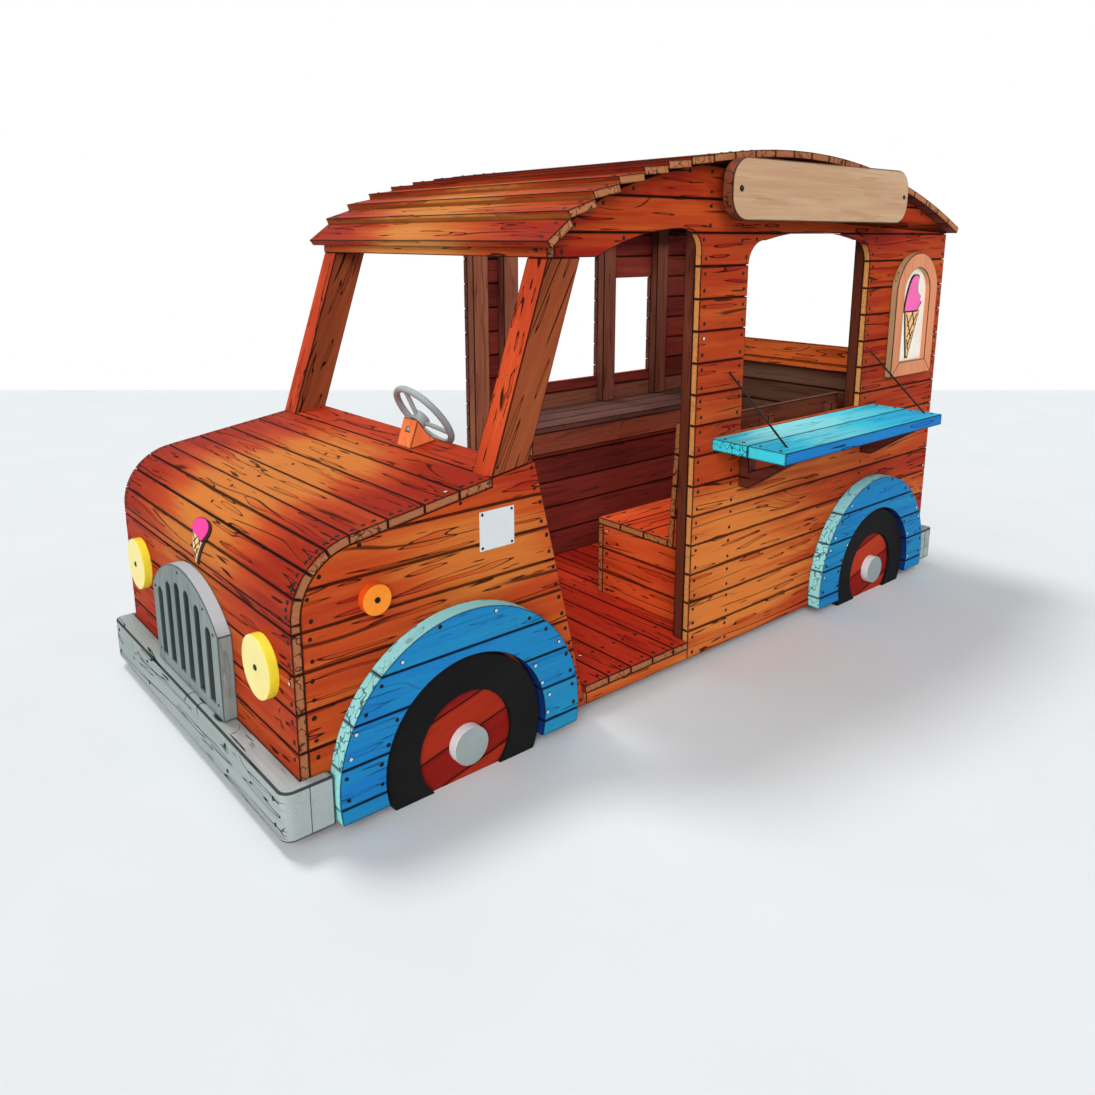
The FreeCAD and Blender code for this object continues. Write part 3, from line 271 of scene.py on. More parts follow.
def timber(name, stains, dark="170905", painted_glow=((0, 0, 0), (1, 1, 1), 0.0), bias=0.0, variety=0.3, figure=0.8,
           checks=0.9, sawn=1.0, edge=1.0, specular=0.06):
    """Board material. stains: pale, warm, deep, sawn ends; painted_glow: place, reach, amount of a paler
    patch of painted light.
    """
    made, n, shader, bump = surface(name, specular)
    pattern = n.add("ShaderNodeGroup", node_tree=TIMBER)
    values = [hexed(code) for code in (*stains.split(), dark)]
    for socket, value in zip(pattern.inputs, (*values, *painted_glow, bias, variety, figure, checks, sawn, edge)):
        socket.default_value = value
    n.link(pattern.outputs["Color"], shader.inputs["Base Color"])
    n.link(pattern.outputs["Roughness"], shader.inputs["Roughness"])
    n.link(pattern.outputs["Height"], bump.inputs["Height"])
    return made


def plain(name, stains, marks=0.4, edge=1.0):
    """Board material with few marks."""
    return timber(name, stains, figure=marks, checks=marks, edge=edge)


def coated(name, paints, roughness=0.5, grit=60.0, blotch=3.0, specular=0.15, metallic=0.0, relief=0.3,
           coat=0.0):
    """Paint, plastic, rubber or metal: a blotchy pale and deep colour, with fine grit and uneven gloss."""
    pale, deep = [hexed(code) for code in paints.split()]
    made, n, shader, bump = surface(name, specular, metallic, coat)
    body = n.add("ShaderNodeTexCoord").outputs["Object"]
    grains = n.noise(body, (grit, grit), 3.0, 0.6)
    level = n.total((n.noise(body, (blotch, blotch), 3.0, 0.55), 0.75), (grains, 0.25))
    n.link(n.mix(n.step(level, 0.34, 0.66), deep, pale), shader.inputs["Base Color"])
    n.link(n.maths("ADD", roughness - 0.08, n.times(grains, 0.16)), shader.inputs["Roughness"])
    n.link(n.times(grains, relief), bump.inputs["Height"])
    return made


# ---------- finishes
# Each painted_glow below is a paler patch of painted light on that part.
HOOD = timber("hood_stain", "CE7834 BA461E 982612 B06E48", variety=0.10, bias=-0.21,
              painted_glow=((0.0, -1.42, 0.80), (0.62, 0.66, 1.0), 0.69))
FRONT = timber("front_stain", "CC6E30 B43C1A 981F15 B06E48", variety=0.12,
               painted_glow=((-0.05, -1.7, 0.62), (0.5, 1, 0.22), 0.3))
NOSE = timber("nose_stain", "D07432 BE4A1E 9E2616 B06E48", variety=0.16,
              painted_glow=((0.72, -1.05, 0.72), (1, 0.45, 0.22), 0.36))
FLANK = timber("flank_stain", "DC7E38 B8461C 981E14 E29754", variety=0.24, bias=-0.06, sawn=0.3,
               painted_glow=((0.72, 0.20, 0.36), (1, 0.66, 0.52), 0.46))
# The far wall's stain, with darker board ends as painted shade.
FAR_FLANK_SHADED_ENDS = timber("far_flank_stain_shaded_ends", "D27432 B8461C 981E14 7E4636", variety=0.22,
                   painted_glow=((-0.72, 0.4, 0.50), (1, 0.7, 0.6), 0.36))
TAIL = timber("tail_stain", "C46228 AC3C1C 90241A B06E48")
ROOF = timber("roof_stain", "D0823E B84A1C 982414 C07A50", variety=0.14, bias=-0.17,
              painted_glow=((-0.05, -0.62, 1.62), (0.62, 0.75, 0.4), 0.50))
ROOF_EDGE = timber("roof_edge_stain", "DCA050 B84E20 9C3018 C07A50", checks=0.5, figure=0.2, bias=-0.16,
                   painted_glow=((0, -0.70, 1.66), (0.62, 0.9, 0.3), 0.62))
HEADER = timber("header_stain", "F09A4C CA5424 A42818 B06E48", bias=-0.05, variety=0.1,
                painted_glow=((-0.1, -0.8, 1.6), (0.6, 0.3, 0.3), 0.52))
PILLAR = timber("pillar_stain", "E46A34 D24E28 B23A1E B06E48", figure=1.0, checks=1.0)
# Sides and backs of the windscreen pillars in a darker copy of the pillar stain: painted shade.
PILLAR_SIDE_SHADE = timber("pillar_side_painted_shade", "A85E36 984A2A 7E3C22 B06E48", figure=1.4, checks=1.2)
POST = timber("post_stain", "A86A4C 88503E 683A2C 8C5A38", variety=0.5, figure=0.5, checks=0.4)
# Posts on the near (+X) wall in a darker copy of the post stain: painted shade.
NEAR_POST_SHADE = plain("near_post_painted_shade", "7C4230 66301F 522418 7C4230")
# Darker copies of the stains for inner faces, undersides and roof ribs: painted shade.
WALL_BAND_SHADE = plain("wall_band_painted_shade", "9A5A46 84503E 6C3C2E 8C5A38", marks=0.3)
REAR_INSIDE_SHADE = plain("rear_inside_painted_shade", "80604E 6E5040 5A3E30 7C5A38", 0.3)
INSIDE_SHADE = plain("inside_painted_shade", "9C4838 86342C 622722 8C5A38", marks=0.35)
CEILING_SHADE = plain("ceiling_painted_shade", "8A4A34 6A3428 4C2620 8C5A38")
FLOORING = timber("floor_stain", "DC5228 C23420 9A2016 B06E48", variety=0.2)
BENCH = timber("bench_stain", "EE6A34 E05226 C0381C C8804A", variety=0.2)
# Rear faces of the bench and its battens in a darker copy of its stain: painted shade.
BENCH_REAR_SHADE = plain("bench_rear_painted_shade", "8A4A34 76402E 5E3022 76402E")
# The rear rail in a brighter stain than the walls, standing in for light on it: painted light.
RAIL_PAINTED_LIGHT = timber("rail_painted_light", "FF8C44 EE7636 CA5828 B06A3C")
SHELF = plain("shelf_stain", "74483C 60403A 4A3028 A8784C")
APRON = plain("apron_stain", "A2543E 8C4A36 70382A A8784C")
UNDER = timber("bearer_stain", "8A5232 6E3C26 4E281C B06E48")
BRACKET = timber("bracket_stain", "A0583C 8A4632 683026 8A4632")
BLOCK = plain("block_stain", "FFA468 FF8A50 F07240 F08048", 0.2, 0.8)
GREY = timber("grey_paint", "BEC6C6 A0AAA8 909B98 A8B2B0", dark="1E2224", figure=0.7, checks=1.0, sawn=0.5,
              bias=-0.05)
GRILLE = timber("grille_paint", "98A3A1 848F8D 747F7D B8C0C4", dark="1A2022", figure=0.15, checks=0.25,
                edge=0.8, sawn=0.0)
BLUE = timber("blue_paint", "2890B8 2082BC 1A74C0 8FDCE0", dark="08121C", figure=0.25, checks=0.5, edge=0.9)
# Pale rims as painted highlight on the arches' outer rims; navy as painted shade on their inner rims.
FENDER_RIM_HIGHLIGHT = timber("cyan_rim_painted_highlight", "B8FFFF A4F4F6 8CE8EE A8FAFA", dark="10262C", figure=0.4, checks=0.5, edge=0.7)
NAVY_INNER_SHADE = timber("navy_rim_painted_shade", "1C4490 143478 102A64 143478", dark="060E20", figure=0.2, checks=0.2, sawn=0.0)
SKY = timber("sky_paint", "98F6FF 48E4FF 2CC6FF 4CECFF", dark="0A1E28", figure=0.35, checks=0.5, edge=0.7,
             painted_glow=((0.84, 0.40, 0.9), (0.5, 0.42, 1), 0.34))
# Underside and outer long edge of the counter in a deeper blue: painted shade.
SKY_EDGE_SHADE = timber("sky_side_painted_shade", "2A92D0 2084C8 1A72BC 5CD0E6", dark="0A1C2A", figure=0.3)
RED_PALE = timber("red_pale_stain", "B83E1E AA301A 9C2818 A03020", figure=0.15, checks=0.1)
RED_DEEP = timber("red_deep_stain", "A0261A 901C16 821814 902018", figure=0.15, checks=0.1)
TAN = timber("tan_stain", "DEBC9C D4B290 C69C7A 8A4C34", dark="24120A", figure=0.12, checks=0.06, edge=0.9,
             sawn=0.0)
# Edges and back of the sign in a darker copy of its tan: painted shade.
SIGN_SIDE_SHADE = timber("sign_side_painted_shade", "8A4C34 7A3E2C 683224 8A4C34", dark="24120A", figure=0.2)
FRAME_WOOD = timber("frame_stain", "EC9E76 E0926A CE8258 C8A078", dark="24120A", figure=0.15, checks=0.1,
                    sawn=0.2)
FRAME_SIDE = timber("frame_side_stain", "CCA880 C09A70 A8825C C09A70", dark="24120A", figure=0.2)
CREAM = coated("cream_paint", "FFFBF0 F8F2E0")
LAMP = coated("lamp_paint", "FFF09C FCE88A", 0.4, coat=0.15)
LAMP_EDGE = coated("lamp_edge_paint", "FAEC48 F0DC34", 0.4)
AMBER = coated("amber_paint", "FF9C30 F88C1C", 0.4, coat=0.15)
AMBER_EDGE = coated("amber_edge_paint", "FF6A24 EE5618", 0.4)
RUBBER = coated("tyre_rubber", "1C1C1D 131314", 0.8, grit=90, specular=0.08, relief=0.8)
HUB = coated("hub_paint", "A2ACAB 929C9B")
# White hub rims: painted highlight.
HUB_RIM_HIGHLIGHT = coated("hub_rim_painted_highlight", "F4F6F6 E2E7E8")
STEEL = coated("dark_steel", "3A3632 241F1C", metallic=0.5)
PLASTIC = coated("wheel_plastic", "A8B2B2 949E9E", 0.35, grit=160)
SCREW = coated("screw_steel", "241F1C 100D0B", 0.45, grit=300, metallic=0.3)
ZINC = coated("zinc_steel", "E4E6E6 C8CCCC", 0.35, grit=300, metallic=0.2)
JOINT = coated("joint_shade", "140A07 0C0604", 0.9)
ROOF_JOINT = coated("roof_joint_stain", "B0682E 8C4A22", 0.8, blotch=2.5)
SHADOW_GREY = coated("slot_shade", "4A5252 343C3E", 0.8)
PLATE = coated("plate_metal", "DCE2E4 CCD4D6", 0.4, grit=120)
PINK = coated("ice_pink", "FF7CC0 FA64B0", 0.45)
ROSE = coated("ice_rose", "FF3C9E FA2C92", 0.45)
WAFER = coated("wafer_paint", "FFD09A FAC084")
WAFER_LINE = coated("wafer_line", "241008 180A06", 0.6)


# ---------- boards
def islands(bm):
    """The separate solids of a mesh, as lists of vertices."""
    seen, found = set(), []
    for start in bm.verts:
        if start in seen:
            continue
        seen.add(start)
        queue, part = [start], []
        while queue:
            vert = queue.pop()
            part.append(vert)
            for edge in vert.link_edges:
                other = edge.other_vert(vert)
                if other not in seen:
                    seen.add(other)
                    queue.append(other)
        found.append(part)
    return found


def faces_of(verts):
    """All faces round some vertices, each once and always in the same order."""
    return list(dict.fromkeys(f for v in verts for f in v.link_faces))


def merged(node):
    """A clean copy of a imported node's mesh."""
    bm = bmesh.new()
    bm.from_mesh(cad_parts[node].data)
    bmesh.ops.remove_doubles(bm, verts=bm.verts, dist=WELD)
    bmesh.ops.dissolve_limit(bm, angle_limit=FLAT_TURN, verts=bm.verts, edges=bm.edges)
    return bm


def sawn_up(bm, across, pitch, gap, offset):
    """Saws every solid of a mesh into boards across a direction."""
    made = bmesh.new()
    for verts in islands(bm):
        middle = sum((v.co for v in verts), Vector()) / len(verts)
        levels = [v.co.dot(across) for v in verts]
        middle -= across * (middle.dot(across) - (min(levels) + max(levels)) / 2)
        reach = max(abs((v.co - middle).dot(across)) for v in verts)
        count = int(reach / pitch) + 2
        faces = faces_of(verts)
        for i in range(-count, count):
            low, high = i * pitch + offset + gap / 2, (i + 1) * pitch + offset - gap / 2
            if high < -reach + LEAST_BOARD or low > reach - LEAST_BOARD:
                continue
            part = bmesh.new()
            copies = {v: part.verts.new(v.co) for v in verts}
            for face in faces:
                part.faces.new([copies[v] for v in face.verts])
            for level, way in ((low, -1), (high, 1)):
                bmesh.ops.bisect_plane(part, geom=part.verts[:] + part.edges[:] + part.faces[:],
                                       plane_co=middle + across * level, plane_no=across * way,
                                       clear_outer=True)
                bmesh.ops.holes_fill(part, edges=[e for e in part.edges if e.is_boundary])
            mesh = bpy.data.meshes.new("sawn")
            part.to_mesh(mesh)
            made.from_mesh(mesh)
            bpy.data.meshes.remove(mesh)
            part.free()
    bmesh.ops.recalc_face_normals(made, faces=made.faces)
    bm.free()
    return made


def rounded(bm, size, segments=2, turn=26):
    """Rounds every outer edge and marks the new faces as rim."""
    rim = bm.faces.layers.float.new("rim")
    sharp = [e for e in bm.edges
             if e.is_manifold and e.is_convex and e.calc_face_angle(0) > math.radians(turn)]
    made = bmesh.ops.bevel(bm, geom=sharp, offset=size, offset_type="OFFSET", segments=segments,
                           profile=0.6, affect="EDGES", clamp_overlap=False)
    for face in made["faces"]:
        face[rim] = 1.0


def board_frame(verts, along):
    """Centre, axes (along, across, through) and half sizes of one board."""
    areas = {}
    for face in faces_of(verts):
        normal = face.normal - along * face.normal.dot(along)
        if abs(face.normal.dot(along)) < 0.3 and normal.length > 0.5:
            normal.normalize()
            if normal[max(range(3), key=lambda i: abs(normal[i]))] < 0:
                normal = -normal
            key = tuple(round(c, 1) for c in normal)
            total, sum_normal = areas.get(key, (0.0, Vector()))
            areas[key] = (total + face.calc_area(), sum_normal + normal * face.calc_area())
    through = max(areas.values(), key=lambda a: a[0])[1].normalized()
    through = (through - along * through.dot(along)).normalized()
    across = through.cross(along)
    axes = (along, across, through)
    spans = [[v.co.dot(axis) for v in verts] for axis in axes]
    centre = sum((axis * (min(s) + max(s)) / 2 for axis, s in zip(axes, spans)), Vector())
    return centre, axes, Vector([(max(s) - min(s)) / 2 for s in spans])


def board_marks(bm, along):
    """Writes each board's own coordinates, sizes and tone for the timber pattern; returns the frames."""
    place, half, shift, tone = [bm.verts.layers.float_vector.new(title)
                                for title in ("place", "half", "shift", "tone")]
    end = bm.faces.layers.float.new("end")
    frames = []
    for verts in islands(bm):
        centre, axes, size = board_frame(verts, along)
        offset = Vector([rng.uniform(0, 40) for _ in range(3)])
        tones = Vector([rng.random() for _ in range(3)])
        for vert in verts:
            away = vert.co - centre
            vert[place] = Vector([away.dot(a) for a in axes])
            vert[half], vert[shift], vert[tone] = size, offset, tones
        for face in faces_of(verts):
            face[end] = min(1.0, max(0.0, (abs(face.normal.dot(along)) - END_FROM) / END_BLEND))
        frames.append((centre, axes, size))
    return frames


def piece(name, bm, materials, body="root", node=None, smooth=20, zones=None, outwards=False):
    """A finished object; its bmesh ends here. zones(normal, centre) gives a face's material number."""
    mesh = bpy.data.meshes.new(name)
    if outwards:
        bmesh.ops.recalc_face_normals(bm, faces=bm.faces)
    if zones:
        for face in bm.faces:
            face.material_index = int(zones(face.normal, face.calc_center_median()))
    bm.to_mesh(mesh)
    bm.free()
    for material in materials:
        mesh.materials.append(material)
    mesh.shade_smooth()
    mesh.set_sharp_from_angle(angle=math.radians(smooth))
    made = placed(name, mesh)
    if node:
        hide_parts(node)
    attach(made, body)


DRESSED = {}  # what screws and joints need of each dressed node: its search tree and its boards


def eased_bore(bm):
    """Opens the wedge block's bore a little round the turning shaft."""
    for vert in bm.verts:
        out = vert.co - SHAFT_PLACE
        out -= SHAFT_AXIS * out.dot(SHAFT_AXIS)
        if out.length < BORE_REACH:
            vert.co += out.normalized() * BORE_EASE


def dress(node, along, materials, size=0.003, zones=None, saw=None, edit=None):
    """Stands rounded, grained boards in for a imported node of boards."""
    bm = merged(node)
    if edit:
        edit(bm)
    if saw:
        bm = sawn_up(bm, *saw)
    rounded(bm, size)
    frames = board_marks(bm, along)
    DRESSED[node] = (BVHTree.FromBMesh(bm), frames)
    piece(node + "_looks", bm, materials, node=node, zones=zones)


def fender_zone(normal, centre):
    """Blue face; pale outer rim as painted highlight; navy inner rim as painted shade, and dark joints of the
    wheel arches.
    """
    if abs(normal.x) > 0.6:
        return 0
    away = centre - Vector((0, math.copysign(AXLE_Y, centre.y), AXLE_Z))
    away.x = 0
    return 1 if away.length > ARCH_RADIUS - 0.012 and normal.dot(away) > 0 else 2


def slot_zone(normal, centre):
    """Walls inside the grille's slots, dark as painted shade."""
    deep = abs(normal.y) < 0.5 and centre.y > -1.7215 and abs(centre.x) < 0.29 and centre.z > 0.2
    return deep and Vector((centre.x, centre.z - GRILLE_TOP + GRILLE_RADIUS)).length < 0.38


def disc_zone(normal, centre):
    """Alternate boards of a wheel disc are pale and deep."""
    along = centre - Vector((0, math.copysign(AXLE_Y, centre.y), AXLE_Z))
    return math.floor((along.dot(DISC_ACROSS) - DISC_OFFSET) / DISC_PITCH) % 2


def frame_zone(normal, centre):
    """Paler outer side of the picture frame."""
    outwards = centre - Vector((0.736, PICTURE_Y, PICTURE_Z))
    return abs(normal.x) < 0.6 and normal.dot(outwards) > 0


def dress_walls():
    # Inner faces, backs and undersides take the darker copies of the stains: painted shade.
    dress("hood_boards", X, [HOOD, INSIDE_SHADE], zones=lambda n, c: n.z < -0.5 or n.y > 0.6)
    dress("front_boards", X, [FRONT, INSIDE_SHADE], zones=lambda n, c: n.y > 0.7)
    dress("side_front_left", Y, [NOSE, INSIDE_SHADE], zones=lambda n, c: n.x < -0.7)
    dress("side_front_right", Y, [NOSE, INSIDE_SHADE], zones=lambda n, c: n.x > 0.7)
    dress("side_rear_left", Y, [FLANK, INSIDE_SHADE], zones=lambda n, c: n.x < -0.7)
    dress("side_rear_right", Y, [FAR_FLANK_SHADED_ENDS, INSIDE_SHADE, WALL_BAND_SHADE],
          zones=lambda n, c: 0 if n.x < 0.7 else 2 if 0.74 < c.z < 0.91 and c.y > -0.45 else 1)
    dress("rear_boards", X, [TAIL, REAR_INSIDE_SHADE], zones=lambda n, c: n.y < -0.7)
    dress("rear_rail", X, [RAIL_PAINTED_LIGHT])
    dress("roof_boards", X, [ROOF, ROOF_EDGE, CEILING_SHADE],
          zones=lambda n, c: 1 if n.y < -0.6 else 2 if n.z < -0.5 else 0)
    dress("roof_ribs", Y, [CEILING_SHADE])
    dress("header_front", X, [HEADER, CEILING_SHADE], zones=lambda n, c: n.y > 0.6 or n.z < -0.6)
    for side in ("left", "right"):
        dress("windscreen_pillar_" + side, PILLAR_SLOPE, [PILLAR, PILLAR_SIDE_SHADE], size=0.004,
              zones=lambda n, c: abs(n.x) > 0.6 or n.y > 0.5)
        dress("wall_posts_" + side, Z, [POST, NEAR_POST_SHADE], 0.004, zones=lambda n, c: c.x > 0)
    dress("dash_boards", X, [FRONT])


def dress_inside():
    dress("floor_boards", X, [FLOORING])
    dress("door_sills", Y, [FLANK])
    dress("long_bearers", Y, [UNDER])
    dress("cross_bearers", X, [UNDER])
    dress("bench_ends", X, [BENCH, BENCH_REAR_SHADE], zones=lambda n, c: c.y > 0.7)
    dress("bench_side", Y, [BENCH])
    dress("bench_seat", Y, [BENCH])
    dress("bench_back", Y, [BENCH, BENCH_REAR_SHADE], zones=lambda n, c: n.x > 0.5 or n.z > 0.8)
    dress("bench_battens", Z, [BENCH_REAR_SHADE])
    dress("worktop", Y, [SHELF])
    dress("worktop_front", Y, [INSIDE_SHADE, APRON], zones=lambda n, c: c.z > 0.64)
    dress("steering_block", Z, [BLOCK], size=0.004, edit=eased_bore)


def dress_fittings():
    dress("bumper_front", X, [GREY], 0.006)
    dress("bumper_rear", X, [GREY], 0.006)
    dress("grille", Z, [GRILLE, SHADOW_GREY], zones=slot_zone)
    for node in ("fenders_front", "fenders_rear"):
        dress(node, Y, [BLUE, FENDER_RIM_HIGHLIGHT, NAVY_INNER_SHADE], zones=fender_zone)
    dress("tyres", Y, [RUBBER], 0.004)
    dress("wheel_discs", DISC_ACROSS.cross(X), [RED_PALE, RED_DEEP], 0.0015, zones=disc_zone,
          saw=(DISC_ACROSS, DISC_PITCH, 0.0015, DISC_OFFSET))
    dress("wheel_hubs", Y, [HUB, HUB_RIM_HIGHLIGHT], 0.002, zones=lambda n, c: abs(n.x) < 0.5)
    dress("counter_boards", Y, [SKY, SKY_EDGE_SHADE], 0.004,
          zones=lambda n, c: n.z < -0.5 or n.x > 0.6)
    dress("counter_brackets", X, [BRACKET])
    dress("sign_board", Y, [TAN, SIGN_SIDE_SHADE], 0.004, zones=lambda n, c: n.x < 0.6)
    dress("picture_frame", Z, [FRAME_WOOD, FRAME_SIDE], zones=frame_zone)
    dress("picture_panel", Z, [CREAM], 0.001)
    dress("headlamps", X, [LAMP, LAMP_EDGE], zones=lambda n, c: abs(n.y) < 0.6)
    dress("indicators", Y, [AMBER, AMBER_EDGE], zones=lambda n, c: abs(n.x) < 0.6)


dress_walls()
dress_inside()
dress_fittings()
for name, material in (("counter_stays", STEEL), ("sign_spacers", STEEL), ("steering_wheel", PLASTIC)):
    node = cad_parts[name]
    node.data.materials.clear()
    node.data.materials.append(material)


# ---------- shade in the joints
def slat(bm, corners, rise):
    """A thin slab over four corners."""
    low, high = [[bm.verts.new(corner + rise * way) for corner in corners] for way in (-1, 1)]
    bm.faces.new(low[::-1])
    bm.faces.new(high)
    for i in range(4):
        bm.faces.new((low[i], low[i - 1], high[i - 1], high[i]))


def side_joints(node, step=0.02, reach=0.006):
    """Corners of the strips that close the joints between boards that lie in one plane."""
    tree, frames = DRESSED[node]
    strips = []
    for centre, (along, across, through), half in frames:
        count = max(2, int(2 * half.x / step))
        run = []
        for i in range(count + 2):
            pair = None
            if i <= count:
                reached = (half.x - PROBE_END) * (2 * i / count - 1)
                start = centre + across * (half.y - PROBE_IN) + along * reached
                edge = tree.ray_cast(start, across, 2 * PROBE_IN)
                if edge[0] and edge[1].dot(across) > 0.6:
                    over = tree.ray_cast(edge[0] + across * NUDGE, across, reach)
                    if over[0] and over[1].dot(across) < -0.6:
                        pair = (edge[0] - across * STRIP_IN, over[0] + across * STRIP_IN)
            if pair:
                run.append(pair)
            elif run:
                if len(run) > 1:
                    first, last = i - len(run) == 0, i == count + 1
                    run[0] = [corner - along * STRIP_ON * first for corner in run[0]]
                    run[-1] = [corner + along * STRIP_ON * last for corner in run[-1]]
                    strips.append(((run[0][0], run[-1][0], run[-1][1], run[0][1]), through * STRIP_HALF))
                run = []
    return strips


def turning_joints(node):
    """The same for boards that follow a curve, one after the other."""
    strips = []
    frames = sorted(DRESSED[node][1], key=lambda f: f[0].y + f[0].z * (f[0].y < -1.2))
    for (centre, (along, across, through), half), (after, (_, side, _), width) in zip(frames, frames[1:]):
        way = math.copysign(1, (after - centre).dot(across))
        back = math.copysign(1, (centre - after).dot(side))
        end = along * (half.x - 0.001)
        first = centre + across * way * (half.y - CURVED_IN)
        second = after + side * back * (width.y - CURVED_IN)
        strips.append(((first - end, first + end, second + end, second - end), through * CURVED_HALF))
    return strips


def joint_shade():
    """Strips that close the joints: dark, and of the stain's own colour in the roof."""
    bm = bmesh.new()
    strips = turning_joints("hood_boards")
    for node in ("front_boards", "side_front_left", "side_front_right", "side_rear_left", "side_rear_right",
                 "rear_boards", "rear_rail", "dash_boards", "floor_boards", "bench_ends", "bench_side",
                 "bench_seat", "bench_back", "worktop", "worktop_front", "fenders_front", "fenders_rear",
                 "counter_boards", "wheel_discs"):
        strips += side_joints(node)
    for corners, rise in strips:
        slat(bm, corners, rise)
    shaded = len(bm.faces)
    for corners, rise in turning_joints("roof_boards"):
        slat(bm, corners, rise)
    bm.faces.ensure_lookup_table()
    for face in bm.faces[shaded:]:
        face.material_index = 1
    piece("joint_strips", bm, [JOINT, ROOF_JOINT], outwards=True)


joint_shade()


# ---------- badges, plates and shade behind the slots
def smooth_rows(rows, steps=4):
    """More rows between the given ones, along a smooth curve through them."""
    rows = [Vector(row) for row in rows]
    made = []
    for i in range(len(rows) - 1):
        a, b, c, d = rows[max(i - 1, 0)], rows[i], rows[i + 1], rows[min(i + 2, len(rows) - 1)]
        for s in range(steps):
            t = s / steps
            made.append(0.5 * (2 * b + (c - a) * t + (2 * a - 5 * b + 4 * c - d) * t * t
                               + (3 * b - a - 3 * c + d) * t * t * t))
    return made + [rows[-1]]


def relief(bm, at, rows, low, high, material):
    """A raised patch on a surface, from rows of (height, left, right)."""
    rings = [[bm.verts.new(at(x, z, lift)) for x, lift in ((x0, low), (x1, low), (x1, high), (x0, high))]
             for z, x0, x1 in rows]
    made = [bm.faces.new(rings[0][::-1]), bm.faces.new(rings[-1])]
    for ring, after in zip(rings, rings[1:]):
        made += [bm.faces.new((ring[i - 1], ring[i], after[i], after[i - 1])) for i in range(4)]
    for face in made:
        face.material_index = material


def ice_cone(name, at, width, height, scoop, finish, shade, lean):
    """An ice cream cone in relief: scoop, lattice wafer, dark outlines, widened to the right by shade as a
    painted shadow side. Heights are from the wafer's rim.
    """
    bm = bmesh.new()

    def spot(x, z, lift):
        return at((x + lean * z) * width, z * height, lift)

    def wafer_half(z):
        return 0.42 * min(1.0, max(0.07, (1.0 + z) ** 0.9))

    wafer = [(-z / 12, -wafer_half(-z / 12), wafer_half(-z / 12)) for z in range(13)]
    shadow = [(z * 1.04, x0 - 0.06, x1 + 0.06 + shade) for z, x0, x1 in wafer]
    relief(bm, spot, shadow, -0.002, 0.0022, 2)
    relief(bm, spot, wafer, 0.002, 0.0038, 1)
    for z0, x0, z1, x1 in ((-0.08, -0.34, -0.62, 0.12), (-0.02, 0.02, -0.34, 0.24),
                           (-0.08, 0.34, -0.58, -0.14), (-0.02, 0.08, -0.34, -0.22),
                           (-0.44, 0.18, -0.80, -0.06), (-0.62, -0.12, -0.86, 0.02)):
        bar = [(z0 + (z1 - z0) * s / 5, x0 + (x1 - x0) * s / 5) for s in range(6)]
        relief(bm, spot, [(z, x - 0.028, x + 0.028) for z, x in bar], 0.003, 0.0045, 2)
    rows = smooth_rows(scoop)
    low, high = rows[0][0], rows[-1][0]
    ring = [(low + (z - low) * 1.08 - 0.035, x0 - 0.055, x1 + 0.055 + shade) for z, x0, x1 in rows]
    relief(bm, spot, ring, -0.002, 0.0042, 2)
    relief(bm, spot, rows, 0.004, 0.0066, 0)
    piece(name, bm, [finish, WAFER, WAFER_LINE], smooth=40, outwards=True)


def on_bend(x, run, lift):
    """Point over the hood's front bend, a run above its foot."""
    angle, radius = max(0.0, run) / BEND_RADIUS, BEND_RADIUS + lift
    return Vector((x + 0.045, BEND_Y - radius * math.cos(angle),
                   BEND_Z + min(0.0, run) + radius * math.sin(angle)))


def badges():
    bitten = [(0.0, -0.50, 0.28), (0.11, -0.50, 0.38), (0.18, -0.49, 0.49), (0.23, -0.48, 0.34),
              (0.31, -0.46, 0.38), (0.39, -0.43, 0.18), (0.51, -0.38, 0.12), (0.60, -0.32, 0.11),
              (0.68, -0.25, 0.14), (0.73, -0.16, 0.10), (0.75, -0.08, 0.02)]
    ice_cone("picture_cone", lambda x, z, lift: Vector((WALL_X + lift, 1.394 + x, 1.306 + z)), 0.140, 0.210,
             bitten, PINK, 0.0, 0.14)
    whole = [(-0.16, 0.24, 0.30), (-0.08, 0.06, 0.38), (-0.02, -0.30, 0.42), (0.04, -0.46, 0.46),
             (0.14, -0.50, 0.50), (0.27, -0.50, 0.50), (0.39, -0.42, 0.42), (0.47, -0.28, 0.28),
             (0.52, -0.08, 0.08)]
    ice_cone("hood_badge", lambda x, z, lift: on_bend(x, z + 0.082, lift), 0.116, 0.092,
             whole, ROSE, 0.10, 0.0)


def block(bm, low, high):
    """An upright box between two corners."""
    made = bmesh.ops.create_cube(bm, size=1.0)["verts"]
    low, high = Vector(low), Vector(high)
    for vert in made:
        vert.co = (low + high) / 2 + Vector([c * s for c, s in zip(vert.co, high - low)])


def blank_plate():
    """A blank metal plate on the left side, behind the indicator."""
    bm = bmesh.new()
    block(bm, (0.7200, -1.068, 0.704), (0.7225, -0.936, 0.828))
    rounded(bm, 0.0006, 1)
    DRESSED["side_plate"] = (BVHTree.FromBMesh(bm), [])
    piece("side_plate", bm, [PLATE])


def dark_lines(name, lines):
    """Thin dark lines on faces that look sideways, each (start, end, way of its width)."""
    bm = bmesh.new()
    for start, end, across in lines:
        start, end, across = Vector(start), Vector(end), Vector(across) * LINE_HALF
        slat(bm, (start - across, start + across, end + across, end - across), X * LINE_RISE)
    piece(name, bm, [JOINT], outwards=True)


def mitre_lines():
    """Joint lines over the lower corners of the picture frame."""
    lines = [((0.752, PICTURE_Y + way * 0.179, 1.011), (0.752, PICTURE_Y + way * 0.114, 1.076), (0, 1, way))
             for way in (-1, 1)]
    dark_lines("mitre_lines", lines)


